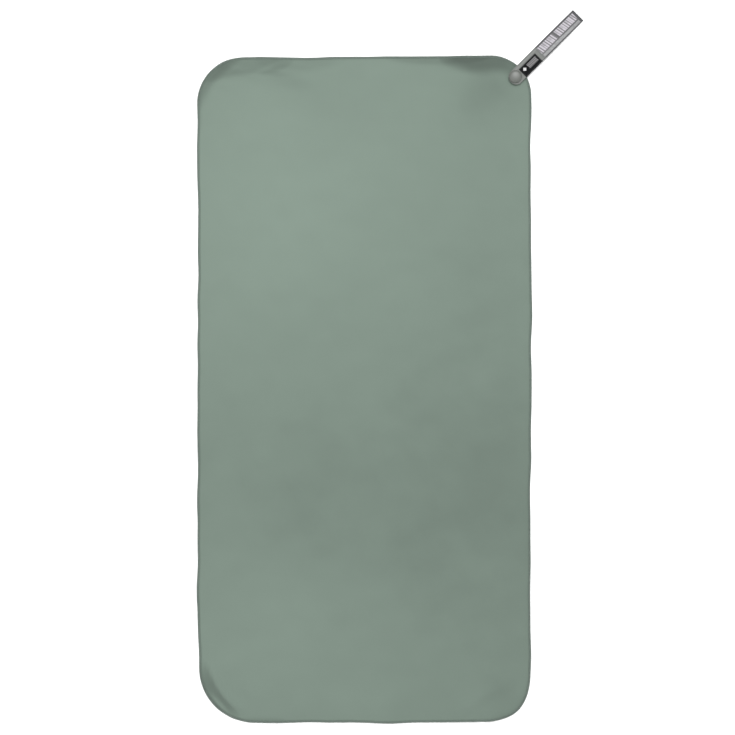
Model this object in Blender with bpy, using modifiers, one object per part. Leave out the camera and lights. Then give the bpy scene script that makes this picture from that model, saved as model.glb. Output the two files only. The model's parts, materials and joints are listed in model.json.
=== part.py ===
"""Quick dry travel towel: a thin microfibre cloth with an overlocked edge and a snap-closed hang loop.

The towel lies flat on its back, with its length along Y and its face up (+Z).
The hang loop is one webbing tape. Its back end is sewn and riveted under the cloth's corner,
it creases at its tip, and its front end carries a snap that closes on the corner.
Modelling coordinates have their origin at the cloth's centre. The loop's pieces are modelled in the
loop's own frame, whose origin is under the snap and whose X axis runs outward along the tape.
"""

import math

import bmesh
import bpy
from mathutils import Vector

# ---------------------------------------------------------------- driving dimensions, in metres
TOWEL_WIDTH = 0.400
TOWEL_LENGTH = 0.800
CLOTH_THICKNESS = 0.0007
CORNER_RADII = {"top_left": 0.056, "top_right": 0.047, "bottom_left": 0.066, "bottom_right": 0.056}
EDGE_BEAD_RADIUS = 0.0008
FOLD_GAP = 0.0003  # between the two halves of the cloth, along the fold line
LAYER_GAP = 0.0001  # between two things that rest on each other
PART_GAP = 0.0003  # between two stretches of the tape at a crease

SNAP_INSET_X = 0.0190  # from the cloth's right side to the snap's axis
SNAP_INSET_Y = 0.0255  # from the cloth's top side to the snap's axis
LOOP_ANGLE = math.radians(45)
TAPE_WIDTH = 0.018
TAPE_THICKNESS = 0.0005
LOOP_LENGTH = 0.105  # from the snap's axis to the creased tip
LOOP_BOW = 0.0035  # how far the front leg arches above a straight line
BACK_LEG_SETTLE = 0.022  # length over which the back leg comes down from the corner to the surface
ANCHOR_INSET = 0.0118  # how far the sewn end reaches past the snap's axis, under the cloth
ANCHOR_OVERHANG = 0.0009  # how far the sewn end reaches past the cloth's edge
CORNER_LIFT_FALL = 0.028  # length over which the cloth comes down round the snap
CREASE_CLEARANCE = 0.0013  # from the cap's rim to the crease where the tape leaves the snap

LABEL_LENGTH = 0.026
LABEL_WIDTH = 0.0117
LABEL_THICKNESS = 0.00035
LABEL_START = 0.0006  # from the crease to the label's near end
THREAD = 0.00045
TACK_LENGTH = 0.012
TACK_WIDTH = 0.0011
LABEL_TACK_INSET = 0.0010

CAP_DIAMETER = 0.0155
CAP_HEIGHT = 0.0027
CAP_RIM = 0.0007
SHEET_METAL = 0.0005
SOCKET_DIAMETER = 0.0120
SOCKET_HEIGHT = 0.0024
STUD_FLANGE_DIAMETER = 0.0108
STUD_FLANGE_HEIGHT = 0.0005
STUD_NUB_DIAMETER = 0.0050
STUD_WAIST_DIAMETER = 0.0044
POST_FLANGE_DIAMETER = 0.0112
POST_FLANGE_HEIGHT = 0.0009
POST_TUBE_DIAMETER = 0.0034
POST_WALL = 0.0003
SNAP_CLEARANCE = 0.0003  # between the stud's nub and what closes round it
SPRING_WIRE = 0.0005
SPRING_GAP_ANGLE = math.radians(40)

TURNED_STEPS = 40
CORNER_STEPS = 12
CLOTH_CELL = 0.005  # spacing of the cloth's mesh lines round the raised corner

# ---------------------------------------------------------------- what follows from them
BEAD_DIAMETER = 2 * EDGE_BEAD_RADIUS
CLOTH_INSET = BEAD_DIAMETER + LAYER_GAP
SNAP_X = TOWEL_WIDTH / 2 - SNAP_INSET_X
SNAP_Y = TOWEL_LENGTH / 2 - SNAP_INSET_Y

ANCHOR_BOTTOM = POST_FLANGE_HEIGHT + LAYER_GAP
CORNER_LIFT = ANCHOR_BOTTOM + TAPE_THICKNESS + LAYER_GAP
STUD_BOTTOM = CORNER_LIFT + CLOTH_THICKNESS + LAYER_GAP
SOCKET_BOTTOM = STUD_BOTTOM + STUD_FLANGE_HEIGHT + LAYER_GAP
STUD_NUB_HEIGHT = LAYER_GAP + SOCKET_HEIGHT - SHEET_METAL - SNAP_CLEARANCE
TAB_BOTTOM = SOCKET_BOTTOM + SOCKET_HEIGHT + LAYER_GAP
TAB_TOP = TAB_BOTTOM + TAPE_THICKNESS
CAP_BOTTOM = TAB_TOP + LAYER_GAP

CREASE_U = CAP_DIAMETER / 2 + CREASE_CLEARANCE
CREASE_Z = TAB_TOP + LAYER_GAP
TIP_U = LOOP_LENGTH
TIP_Z = TAPE_THICKNESS + PART_GAP / 2
FOLD_Z = -FOLD_GAP / 2
LIFT_RADIUS = math.hypot(ANCHOR_INSET, TAPE_WIDTH / 2) + CLOTH_INSET
POST_HOLE_RADIUS = POST_TUBE_DIAMETER / 2 + LAYER_GAP

MATERIALS = {
    "microfibre": ((0.21, 0.29, 0.25), 0.92, 0.0),
    "edge_thread": ((0.14, 0.20, 0.17), 0.90, 0.0),
    "webbing": ((0.28, 0.28, 0.29), 0.80, 0.0),
    "label_weave": ((0.02, 0.02, 0.02), 0.75, 0.0),
    "sewing_thread": ((0.36, 0.37, 0.36), 0.80, 0.0),
    "cap_enamel": ((0.27, 0.28, 0.26), 0.45, 0.0),
    "snap_metal": ((0.62, 0.62, 0.60), 0.30, 1.0),
}


class Frame:
    """An empty that pieces hang on, with the place it stands at in modelling coordinates."""

    def __init__(self, name, parent=None, at=(0, 0, 0), turn=0.0, own_origin=False):
        self.origin = Vector((0, 0, 0)) if own_origin else Vector(at)
        self.empty = bpy.data.objects.new(name, None)
        self.empty.empty_display_size = 0.01
        bpy.context.scene.collection.objects.link(self.empty)
        self.empty.location = Vector(at) - (parent.origin if parent else Vector((0, 0, 0)))
        self.empty.rotation_euler = (0, 0, turn)
        if parent:
            self.empty.parent = parent.empty

    def hold(self, piece, at=(0, 0, 0), turn=(0, 0, 0)):
        """Parents a piece here and puts it at a place given in modelling coordinates."""
        piece.parent = self.empty
        piece.location = Vector(at) - self.origin
        piece.rotation_euler = turn
        return piece


# ---------------------------------------------------------------- scene helpers
def clear_scene():
    for obj in list(bpy.data.objects):
        bpy.data.objects.remove(obj, do_unlink=True)


def make_collection(name):
    collection = bpy.data.collections.new(name)
    bpy.context.scene.collection.children.link(collection)
    return collection


def make_material(name):
    colour, roughness, metallic = MATERIALS[name]
    material = bpy.data.materials.get(name) or bpy.data.materials.new(name)
    material.use_nodes = True
    shader = material.node_tree.nodes["Principled BSDF"]
    shader.inputs["Base Color"].default_value = (*colour, 1)
    shader.inputs["Roughness"].default_value = roughness
    shader.inputs["Metallic"].default_value = metallic
    return material


def add_piece(name, data, material):
    piece = bpy.data.objects.new(name, data)
    bpy.data.collections["quick_dry_towel"].objects.link(piece)
    data.materials.append(make_material(material))
    return piece


def add_cutter(name, data):
    cutter = bpy.data.objects.new(name, data)
    bpy.data.collections["cutters"].objects.link(cutter)
    cutter.hide_render = True
    cutter.display_type = "WIRE"
    return cutter


def cut(piece, cutter):
    """Cuts the cutter's shape out of a mesh piece."""
    modifier = piece.modifiers.new("cut_" + cutter.name, "BOOLEAN")
    modifier.operation = "DIFFERENCE"
    modifier.object = cutter


def shade_round(mesh, sharp=math.radians(35)):
    mesh.shade_smooth()
    mesh.set_sharp_from_angle(angle=sharp)


def as_mesh(curve_piece):
    """The curve object remade as a welded mesh object with the same name, parent and material."""
    bpy.context.view_layer.update()
    graph = bpy.context.evaluated_depsgraph_get()
    mesh = bpy.data.meshes.new_from_object(curve_piece.evaluated_get(graph))
    body = bmesh.new()
    body.from_mesh(mesh)
    bmesh.ops.remove_doubles(body, verts=body.verts, dist=1e-6)
    bmesh.ops.recalc_face_normals(body, faces=body.faces)
    body.to_mesh(mesh)
    body.free()
    name, parent = curve_piece.name, curve_piece.parent
    place, turn = curve_piece.location.copy(), curve_piece.rotation_euler.copy()
    bpy.data.objects.remove(curve_piece, do_unlink=True)
    piece = bpy.data.objects.new(name, mesh)
    bpy.data.collections["quick_dry_towel"].objects.link(piece)
    piece.parent, piece.location, piece.rotation_euler = parent, place, turn
    return piece


# ---------------------------------------------------------------- shape helpers
def smooth_step(share):
    share = min(1.0, max(0.0, share))
    return share * share * (3 - 2 * share)


def corner_lift(x, y):
    """How far the cloth is raised at a place, by the tape and the rivet under its loop corner."""
    away = math.hypot(x - SNAP_X, y - SNAP_Y) - LIFT_RADIUS
    return CORNER_LIFT * smooth_step(1 - away / CORNER_LIFT_FALL)


def arc(centre_x, centre_y, radius, start, end, steps=CORNER_STEPS):
    """Points on an arc, both ends included, with angles in radians."""
    turns = [start + (end - start) * i / steps for i in range(steps + 1)]
    return [(centre_x + radius * math.cos(t), centre_y + radius * math.sin(t)) for t in turns]


def add_spline(curve, points, cyclic=False):
    spline = curve.splines.new("POLY")
    spline.points.add(len(points) - 1)
    for point, place in zip(spline.points, points):
        point.co = (*place, 1) if len(place) == 3 else (*place, 0, 1)
    spline.use_cyclic_u = cyclic


def flat_plate(name, outlines, thickness, material):
    """A flat plate from closed outlines, the first its edge and the others its holes."""
    curve = bpy.data.curves.new(name, "CURVE")
    curve.dimensions = "2D"
    curve.fill_mode = "BOTH"
    curve.extrude = thickness / 2
    for outline in outlines:
        add_spline(curve, outline, cyclic=True)
    return add_piece(name, curve, material)


def ribbon(name, profile, width, thickness, material):
    """A strip of tape whose side view is the open line profile, given as (along, up) points."""
    curve = bpy.data.curves.new(name, "CURVE")
    curve.dimensions = "2D"
    curve.extrude = width / 2
    add_spline(curve, profile)
    strip = add_piece(name, curve, material)
    solid = strip.modifiers.new("thickness", "SOLIDIFY")
    solid.thickness = thickness
    solid.offset = 0
    return strip


RIBBON_TURN = (math.radians(90), 0, 0)  # stands a ribbon's profile up in the loop's X-Z plane


def tube(name, points, radius, material, sides_level=2, cyclic=False):
    curve = bpy.data.curves.new(name, "CURVE")
    curve.dimensions = "3D"
    curve.twist_mode = "Z_UP"
    curve.bevel_depth = radius
    curve.bevel_resolution = sides_level
    curve.use_fill_caps = not cyclic
    add_spline(curve, points, cyclic)
    return add_piece(name, curve, material)


def turned(name, profile, material, steps=TURNED_STEPS):
    """A turned piece from a closed (radius, height) profile that runs down its outer side."""
    mesh = bpy.data.meshes.new(name)
    edges = [(i, (i + 1) % len(profile)) for i in range(len(profile))]
    mesh.from_pydata([(r, 0, z) for r, z in profile], edges, [])
    piece = add_piece(name, mesh, material)
    screw = piece.modifiers.new("turn", "SCREW")
    screw.steps = screw.render_steps = steps
    screw.use_merge_vertices = True
    screw.merge_threshold = 1e-6
    screw.use_smooth_shade = True
    return piece


def box(name, size, add):
    """A box centred on its own origin; add is add_cutter, or a function that makes a piece."""
    mesh = bpy.data.meshes.new(name)
    body = bmesh.new()
    bmesh.ops.create_cube(body, size=1.0)
    bmesh.ops.scale(body, vec=size, verts=body.verts)
    body.to_mesh(mesh)
    body.free()
    return add(name, mesh)


def rod_cutter(name, radius, height, segments=32):
    mesh = bpy.data.meshes.new(name)
    body = bmesh.new()
    bmesh.ops.create_cone(body, cap_ends=True, segments=segments, radius1=radius, radius2=radius, depth=height)
    body.to_mesh(mesh)
    body.free()
    return add_cutter(name, mesh)


# ---------------------------------------------------------------- the cloth and its edge
def cloth_half(name, side, hold):
    """One half of the cloth: side is 1 for the half above the fold line and -1 for the one below."""
    left, right = ("top_left", "top_right") if side > 0 else ("bottom_left", "bottom_right")
    half_width = TOWEL_WIDTH / 2 - CLOTH_INSET
    near, far = FOLD_GAP / 2, TOWEL_LENGTH / 2 - CLOTH_INSET
    body = bmesh.new()
    bmesh.ops.create_grid(body, x_segments=1, y_segments=1, size=1.0)
    for vert in body.verts:
        vert.co.x *= half_width
        vert.co.y = side * (far if vert.co.y > 0 else near)
    if side < 0:
        bmesh.ops.reverse_faces(body, faces=body.faces)
    for corner, sign in ((left, -1), (right, 1)):
        outer = [v for v in body.verts if v.co.x * sign > half_width - 1e-6 and abs(v.co.y) > far - 1e-6]
        bmesh.ops.bevel(
            body,
            geom=outer,
            offset=CORNER_RADII[corner] - CLOTH_INSET,
            offset_type="OFFSET",
            segments=CORNER_STEPS,
            profile=0.5,
            affect="VERTICES",
        )
    slice_round_snap(body)
    for vert in body.verts:
        vert.co.z = CLOTH_THICKNESS / 2 + corner_lift(vert.co.x, vert.co.y)
    mesh = bpy.data.meshes.new(name)
    body.to_mesh(mesh)
    body.free()
    half = hold.hold(add_piece(name, mesh, "microfibre"))
    solid = half.modifiers.new("thickness", "SOLIDIFY")
    solid.thickness = CLOTH_THICKNESS
    solid.offset = 0
    return half


def slice_round_snap(body):
    """Divides the flat cloth by lines round the loop corner, so that it can rise smoothly there."""
    reach = LIFT_RADIUS + CORNER_LIFT_FALL
    lines = int(2 * reach / CLOTH_CELL)
    for axis, centre in ((Vector((1, 0, 0)), SNAP_X), (Vector((0, 1, 0)), SNAP_Y)):
        for i in range(lines + 1):
            bmesh.ops.bisect_plane(
                body,
                geom=body.verts[:] + body.edges[:] + body.faces[:],
                dist=1e-7,
                plane_co=axis * (centre - reach + i * CLOTH_CELL),
                plane_no=axis,
            )


def edge_line(side):
    """The overlocked bead's centreline for one half, from the fold line round to the fold line."""
    left, right = ("top_left", "top_right") if side > 0 else ("bottom_left", "bottom_right")
    half_width = TOWEL_WIDTH / 2 - EDGE_BEAD_RADIUS
    half_length = TOWEL_LENGTH / 2 - EDGE_BEAD_RADIUS
    left_r = CORNER_RADII[left] - EDGE_BEAD_RADIUS
    right_r = CORNER_RADII[right] - EDGE_BEAD_RADIUS
    quarter = math.pi / 2
    line = [(-half_width, FOLD_GAP / 2)]
    line += arc(-half_width + left_r, half_length - left_r, left_r, 2 * quarter, quarter)
    line += between(line[-1], (half_width - right_r, half_length))
    line += arc(half_width - right_r, half_length - right_r, right_r, quarter, 0)
    line += between(line[-1], (half_width, FOLD_GAP / 2))
    line.append((half_width, FOLD_GAP / 2))
    return [(x, side * y, EDGE_BEAD_RADIUS + corner_lift(x, side * y)) for x, y in line]


def between(start, end):
    """Points on a straight stretch, only where the stretch lies near the raised corner."""
    steps = max(2, int(math.dist(start, end) / CLOTH_CELL))
    points = []
    for i in range(1, steps):
        x = start[0] + (end[0] - start[0]) * i / steps
        y = start[1] + (end[1] - start[1]) * i / steps
        if math.hypot(x - SNAP_X, y - SNAP_Y) < LIFT_RADIUS + CORNER_LIFT_FALL + CLOTH_CELL:
            points.append((x, y))
    return points


def build_cloth(towel, fold):
    upper = cloth_half("upper_cloth", 1, towel)
    cloth_half("lower_cloth", -1, fold)
    towel.hold(tube("upper_edge_overlock", edge_line(1), EDGE_BEAD_RADIUS, "edge_thread"))
    fold.hold(tube("lower_edge_overlock", edge_line(-1), EDGE_BEAD_RADIUS, "edge_thread"))
    return upper


# ---------------------------------------------------------------- the tape
def edge_distance(aside=0.0):
    """From the snap's axis out along the loop to the cloth's rounded corner, on a line moved aside."""
    radius = CORNER_RADII["top_right"]
    from_x = SNAP_X - (TOWEL_WIDTH / 2 - radius)
    from_y = SNAP_Y - (TOWEL_LENGTH / 2 - radius)
    along = from_x * math.cos(LOOP_ANGLE) + from_y * math.sin(LOOP_ANGLE)
    across = from_y * math.cos(LOOP_ANGLE) - from_x * math.sin(LOOP_ANGLE) + aside
    return math.sqrt(radius**2 - across**2) - along


def back_height(u):
    """Height of the back leg's middle: it comes down from under the corner to the surface."""
    start = edge_distance() + ANCHOR_OVERHANG
    high = ANCHOR_BOTTOM + TAPE_THICKNESS / 2
    low = TAPE_THICKNESS / 2
    return high + (low - high) * smooth_step((u - start) / BACK_LEG_SETTLE)


def front_height(u):
    """Height of the front leg's middle: it arches from the snap tab down to the creased tip."""
    share = (u - CREASE_U) / (TIP_U - CREASE_U)
    high = TAB_BOTTOM + TAPE_THICKNESS / 2
    low = TIP_Z + PART_GAP / 2 + TAPE_THICKNESS / 2
    return high + (low - high) * share + 4 * LOOP_BOW * share * (1 - share)


def front_profile(start, end, above, steps):
    """The front leg's line from start to end, moved up square to itself by above."""
    points = []
    for i in range(steps + 1):
        u = start + (end - start) * i / steps
        slope = math.atan((front_height(u + 1e-5) - front_height(u - 1e-5)) / 2e-5)
        points.append((u - above * math.sin(slope), front_height(u) + above * math.cos(slope)))
    return points


def tape_outline(start, end, round_start):
    """A flat stretch of tape seen from above, with its near end round or square."""
    half = TAPE_WIDTH / 2
    if round_start:
        near = arc(0, 0, half, math.radians(90), math.radians(270), steps=16)
    else:
        near = [(start, half), (start, -half)]
    return near + [(end, -half), (end, half)]


def build_anchor(loop):
    """The tape's sewn end, under the cloth."""
    end = edge_distance() + ANCHOR_OVERHANG
    hole = arc(0, 0, POST_HOLE_RADIUS, 0, 2 * math.pi, steps=24)[:-1]
    outline = tape_outline(-ANCHOR_INSET, end, round_start=False)
    anchor = flat_plate("tape_anchor", [outline, hole], TAPE_THICKNESS, "webbing")
    loop.hold(anchor, at=(0, 0, ANCHOR_BOTTOM + TAPE_THICKNESS / 2))
    return as_mesh(anchor)


def build_back_leg(swing):
    start = edge_distance() + ANCHOR_OVERHANG + PART_GAP
    end = TIP_U
    steps = 10
    bend = [start + BACK_LEG_SETTLE * i / steps for i in range(steps + 1)]
    profile = [(u, back_height(u)) for u in bend] + [(end, back_height(end))]
    leg = ribbon("tape_back_leg", profile, TAPE_WIDTH, TAPE_THICKNESS, "webbing")
    swing.hold(leg, turn=RIBBON_TURN)


def build_front_leg(opening):
    profile = front_profile(CREASE_U + PART_GAP / 2, TIP_U, 0, steps=20)
    leg = ribbon("tape_front_leg", profile, TAPE_WIDTH, TAPE_THICKNESS, "webbing")
    opening.hold(leg, turn=RIBBON_TURN)
    return as_mesh(leg)


def build_tab(flex):
    """The tape's free end, which the snap's cap and socket are riveted through."""
    outline = tape_outline(0, CREASE_U - PART_GAP / 2, round_start=True)
    hole = arc(0, 0, POST_HOLE_RADIUS, 0, 2 * math.pi, steps=24)[:-1]
    tab = flat_plate("tape_snap_tab", [outline, hole], TAPE_THICKNESS, "webbing")
    flex.hold(tab, at=(0, 0, TAB_BOTTOM + TAPE_THICKNESS / 2))
    as_mesh(tab)


def build_label(opening):
    """The woven label on the front leg, flush with the tape's lower side."""
    start = CREASE_U + LABEL_START
    above = TAPE_THICKNESS / 2 + LAYER_GAP + LABEL_THICKNESS / 2
    profile = front_profile(start, start + LABEL_LENGTH, above, steps=8)
    label = ribbon("woven_label", profile, LABEL_WIDTH, LABEL_THICKNESS, "label_weave")
    opening.hold(label, at=(0, (LABEL_WIDTH - TAPE_WIDTH) / 2, 0), turn=RIBBON_TURN)
    return as_mesh(label)


# ---------------------------------------------------------------- the stitching
def tack(name, hold, centre, length, low, high, layers, tilt=0.0):
    """A bar of stitches across the tape: a flat loop of thread over and under the layers it holds.

    Its two ends pass through the layers, which get a slot for each.
    """
    inner = length - 2 * THREAD
    outline = rectangle(length / 2, (high - low) / 2 + THREAD)
    hole = rectangle(inner / 2, (high - low) / 2)
    bar = flat_plate(name, [outline, hole], TACK_WIDTH, "sewing_thread")
    middle = Vector((centre[0], centre[1], (low + high) / 2))
    bar.rotation_mode = "XZY"
    hold.hold(bar, at=middle, turn=(math.radians(90), tilt, math.radians(90)))
    for sign in (-1, 1):
        slot = box(
            f"{name}_slot_{'near' if sign < 0 else 'far'}",
            (TACK_WIDTH + 2 * LAYER_GAP, THREAD + 2 * LAYER_GAP, 4 * (high - low)),
            add_cutter,
        )
        hold.hold(slot, at=middle + Vector((0, sign * (length - THREAD) / 2, 0)), turn=(0, tilt, 0))
        for layer in layers:
            cut(layer, slot)
    return bar


def rectangle(half_x, half_y):
    return [(-half_x, -half_y), (half_x, -half_y), (half_x, half_y), (-half_x, half_y)]


def build_anchor_tack(loop, cloth, anchor):
    """A bar of stitches just inside the edge holds the tape's sewn end under the cloth."""
    low = ANCHOR_BOTTOM - LAYER_GAP
    high = CORNER_LIFT + CLOTH_THICKNESS + LAYER_GAP
    edge = min(edge_distance(TACK_LENGTH / 2), edge_distance(-TACK_LENGTH / 2))
    u = edge - CLOTH_INSET - TACK_WIDTH / 2 - PART_GAP
    tack("tape_bar_tack", loop, (u, 0), TACK_LENGTH, low, high, (cloth, anchor))


def build_label_tacks(opening, label, front_leg):
    """A row of stitches at each end of the label holds it to the tape."""
    length = LABEL_WIDTH - 2 * LABEL_TACK_INSET
    across = (LABEL_WIDTH - TAPE_WIDTH) / 2
    start = CREASE_U + LABEL_START + LABEL_TACK_INSET
    end = CREASE_U + LABEL_START + LABEL_LENGTH - LABEL_TACK_INSET
    for name, u in (("lower_label_stitch", start), ("upper_label_stitch", end)):
        slope = math.atan((front_height(u + 1e-5) - front_height(u - 1e-5)) / 2e-5)
        low = front_height(u) - TAPE_THICKNESS / 2 - LAYER_GAP
        high = front_height(u) + TAPE_THICKNESS / 2 + 2 * LAYER_GAP + LABEL_THICKNESS
        tack(name, opening, (u, across), length, low, high, (label, front_leg), tilt=-slope)


# ---------------------------------------------------------------- the snap
def build_post(loop):
    """The rivet under the corner: a flange, with a tube up through the tape and cloth."""
    tube_r = POST_TUBE_DIAMETER / 2
    flange_r = POST_FLANGE_DIAMETER / 2
    top = STUD_BOTTOM + STUD_FLANGE_HEIGHT + 2 * SHEET_METAL
    soft = POST_FLANGE_HEIGHT / 3
    profile = [
        (tube_r, top),
        (tube_r, POST_FLANGE_HEIGHT),
        (flange_r - soft, POST_FLANGE_HEIGHT),
        (flange_r, POST_FLANGE_HEIGHT - soft),
        (flange_r, soft),
        (flange_r - soft, 0),
        (tube_r, 0),
        (tube_r - POST_WALL, soft),
        (tube_r - POST_WALL, top),
    ]
    loop.hold(turned("snap_post", profile, "snap_metal"))


def build_stud(loop):
    """The snap's lower half: a flange on the cloth and a hollow nub that the socket closes on."""
    bore = POST_TUBE_DIAMETER / 2 + LAYER_GAP
    flange_r, nub_r, waist_r = STUD_FLANGE_DIAMETER / 2, STUD_NUB_DIAMETER / 2, STUD_WAIST_DIAMETER / 2
    flange_top = STUD_BOTTOM + STUD_FLANGE_HEIGHT
    top = flange_top + STUD_NUB_HEIGHT
    bulb = top - STUD_NUB_HEIGHT / 3
    profile = [
        (waist_r - SHEET_METAL / 2, top),
        (nub_r, bulb + STUD_NUB_HEIGHT / 8),
        (nub_r, bulb - STUD_NUB_HEIGHT / 8),
        (waist_r, flange_top + STUD_NUB_HEIGHT / 3),
        (waist_r, flange_top),
        (flange_r, flange_top),
        (flange_r, STUD_BOTTOM),
        (bore, STUD_BOTTOM),
        (bore, top),
    ]
    loop.hold(turned("snap_stud", profile, "snap_metal"))


def build_socket(flex):
    """The snap's upper half, hollow for the stud, with a groove that holds the spring ring."""
    outer = SOCKET_DIAMETER / 2
    mouth = STUD_NUB_DIAMETER / 2 + SNAP_CLEARANCE
    groove = mouth + SPRING_WIRE + 2 * LAYER_GAP
    post = POST_TUBE_DIAMETER / 2 + LAYER_GAP
    top = SOCKET_BOTTOM + SOCKET_HEIGHT
    roof = top - SHEET_METAL
    groove_low = SOCKET_BOTTOM + SHEET_METAL
    groove_high = groove_low + SPRING_WIRE + 2 * LAYER_GAP
    profile = [
        (post, top),
        (outer - SHEET_METAL, top),
        (outer, top - SHEET_METAL),
        (outer, SOCKET_BOTTOM + SHEET_METAL),
        (outer - SHEET_METAL, SOCKET_BOTTOM),
        (mouth, SOCKET_BOTTOM),
        (mouth, groove_low),
        (groove, groove_low),
        (groove, groove_high),
        (mouth, groove_high),
        (mouth, roof),
        (post, roof),
    ]
    flex.hold(turned("snap_socket", profile, "snap_metal"))


def build_spring(flex):
    """The split wire ring in the socket's groove that grips the stud."""
    ring = STUD_NUB_DIAMETER / 2 + SNAP_CLEARANCE + SPRING_WIRE / 2
    height = SOCKET_BOTTOM + SHEET_METAL + LAYER_GAP + SPRING_WIRE / 2
    half_gap = SPRING_GAP_ANGLE / 2
    line = arc(0, 0, ring, half_gap, 2 * math.pi - half_gap, steps=32)
    wire = tube("snap_spring", [(x, y, height) for x, y in line], SPRING_WIRE / 2, "snap_metal")
    flex.hold(wire)


def build_cap(flex):
    """The domed cap on the tab, with a tube down through the tape that is rolled into the socket."""
    cap_r, tube_r = CAP_DIAMETER / 2, POST_TUBE_DIAMETER / 2
    top = CAP_BOTTOM + CAP_HEIGHT
    tube_end = TAB_BOTTOM - LAYER_GAP - SHEET_METAL / 2
    dome = []
    steps = 8
    for i in range(steps + 1):
        turn = math.radians(90) * i / steps
        height = CAP_BOTTOM + CAP_RIM + (CAP_HEIGHT - CAP_RIM) * math.cos(turn)
        dome.append((cap_r * math.sin(turn), height))
    profile = dome + [
        (cap_r, CAP_BOTTOM + CAP_RIM / 3),
        (cap_r - CAP_RIM / 3, CAP_BOTTOM),
        (tube_r, CAP_BOTTOM),
        (tube_r, tube_end),
        (tube_r - POST_WALL, tube_end),
        (tube_r - POST_WALL, top - 2 * SHEET_METAL),
        (0, top - 2 * SHEET_METAL),
    ]
    mesh = bpy.data.meshes.new("snap_cap")
    mesh.from_pydata([(r, 0, z) for r, z in profile], [(i, i + 1) for i in range(len(profile) - 1)], [])
    cap = add_piece("snap_cap", mesh, "cap_enamel")
    screw = cap.modifiers.new("turn", "SCREW")
    screw.steps = screw.render_steps = TURNED_STEPS
    screw.use_merge_vertices = True
    screw.merge_threshold = 1e-6
    screw.use_smooth_shade = True
    flex.hold(cap)


# ---------------------------------------------------------------- the whole towel
def box_centre():
    """The middle of the whole outline, hang loop included, in modelling coordinates."""
    reach_x = (TIP_U * math.cos(LOOP_ANGLE)) + TAPE_WIDTH / 2 * math.sin(LOOP_ANGLE)
    reach_y = (TIP_U * math.sin(LOOP_ANGLE)) + TAPE_WIDTH / 2 * math.cos(LOOP_ANGLE)
    high_x = max(TOWEL_WIDTH / 2, SNAP_X + reach_x)
    high_y = max(TOWEL_LENGTH / 2, SNAP_Y + reach_y)
    return (high_x - TOWEL_WIDTH / 2) / 2, (high_y - TOWEL_LENGTH / 2) / 2


def build_towel():
    clear_scene()
    make_collection("quick_dry_towel")
    make_collection("cutters")
    middle_x, middle_y = box_centre()
    towel = Frame("towel_frame", at=(-middle_x, -middle_y, 0), own_origin=True)
    fold = Frame("half_fold_axis", towel, at=(0, 0, FOLD_Z))
    loop = Frame("loop_frame", towel, at=(SNAP_X, SNAP_Y, 0), turn=LOOP_ANGLE, own_origin=True)
    swing = Frame("loop_swing_axis", loop, at=(CREASE_U, 0, CREASE_Z))
    opening = Frame("loop_open_axis", swing, at=(TIP_U, 0, TIP_Z))
    flex = Frame("tab_flex_axis", opening, at=(CREASE_U, 0, CREASE_Z))

    upper = build_cloth(towel, fold)
    hole = loop.hold(rod_cutter("post_hole", POST_HOLE_RADIUS, 8 * CORNER_LIFT))
    cut(upper, hole)
    anchor = build_anchor(loop)
    build_anchor_tack(loop, upper, anchor)
    build_post(loop)
    build_stud(loop)

    build_back_leg(swing)
    front_leg = build_front_leg(opening)
    label = build_label(opening)
    build_label_tacks(opening, label, front_leg)

    build_tab(flex)
    build_socket(flex)
    build_spring(flex)
    build_cap(flex)


build_towel()
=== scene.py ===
"""Looks of a quick dry towel: microfibre suede cloth, overlocked edge, webbing hang loop and snap.

The cloth is one laid sheet with soft undulations and creases; its colour carries painted light and shade
over a faint random mottle. Its edge is wrapped in real overlock threads. The hang loop is one ribbed
webbing with woven bars, painted shade just before its tip, a stitched woven label and a domed snap.
Everything is placed from the CAD frame; the label, its stitches, the bar tack and the snap ride on its
bodies.
"""

import json
import logging
import math
from dataclasses import dataclass, field
from enum import Enum
from typing import Any, Iterable, Sequence

import bpy
import numpy as np
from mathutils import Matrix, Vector

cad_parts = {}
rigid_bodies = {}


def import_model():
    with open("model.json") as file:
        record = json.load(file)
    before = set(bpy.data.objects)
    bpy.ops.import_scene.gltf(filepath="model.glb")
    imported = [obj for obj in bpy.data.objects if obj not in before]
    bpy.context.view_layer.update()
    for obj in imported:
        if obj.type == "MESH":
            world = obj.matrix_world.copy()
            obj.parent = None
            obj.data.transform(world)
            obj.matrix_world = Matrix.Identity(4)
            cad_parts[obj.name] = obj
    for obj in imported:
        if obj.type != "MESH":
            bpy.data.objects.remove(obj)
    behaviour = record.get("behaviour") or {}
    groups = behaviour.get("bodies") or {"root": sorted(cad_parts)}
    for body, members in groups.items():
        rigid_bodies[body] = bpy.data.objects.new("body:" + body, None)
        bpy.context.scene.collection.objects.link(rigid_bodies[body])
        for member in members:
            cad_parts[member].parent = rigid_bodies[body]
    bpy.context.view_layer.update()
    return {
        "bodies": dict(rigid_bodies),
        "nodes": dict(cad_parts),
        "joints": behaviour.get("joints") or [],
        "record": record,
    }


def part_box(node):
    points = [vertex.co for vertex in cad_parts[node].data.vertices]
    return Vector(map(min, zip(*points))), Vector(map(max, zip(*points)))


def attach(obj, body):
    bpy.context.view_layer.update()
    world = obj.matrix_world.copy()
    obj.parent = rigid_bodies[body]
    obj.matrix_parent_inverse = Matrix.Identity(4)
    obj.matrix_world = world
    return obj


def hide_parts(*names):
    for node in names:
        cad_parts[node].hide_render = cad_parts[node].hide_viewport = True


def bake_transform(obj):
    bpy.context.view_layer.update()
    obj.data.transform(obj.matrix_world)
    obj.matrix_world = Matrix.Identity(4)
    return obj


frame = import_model()

log = logging.getLogger("quick_dry_towel")
Colour = tuple[float, float, float]
Span = tuple[float, float]
MM = 0.001
SNAP_GAP = 0.1 * MM


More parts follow.
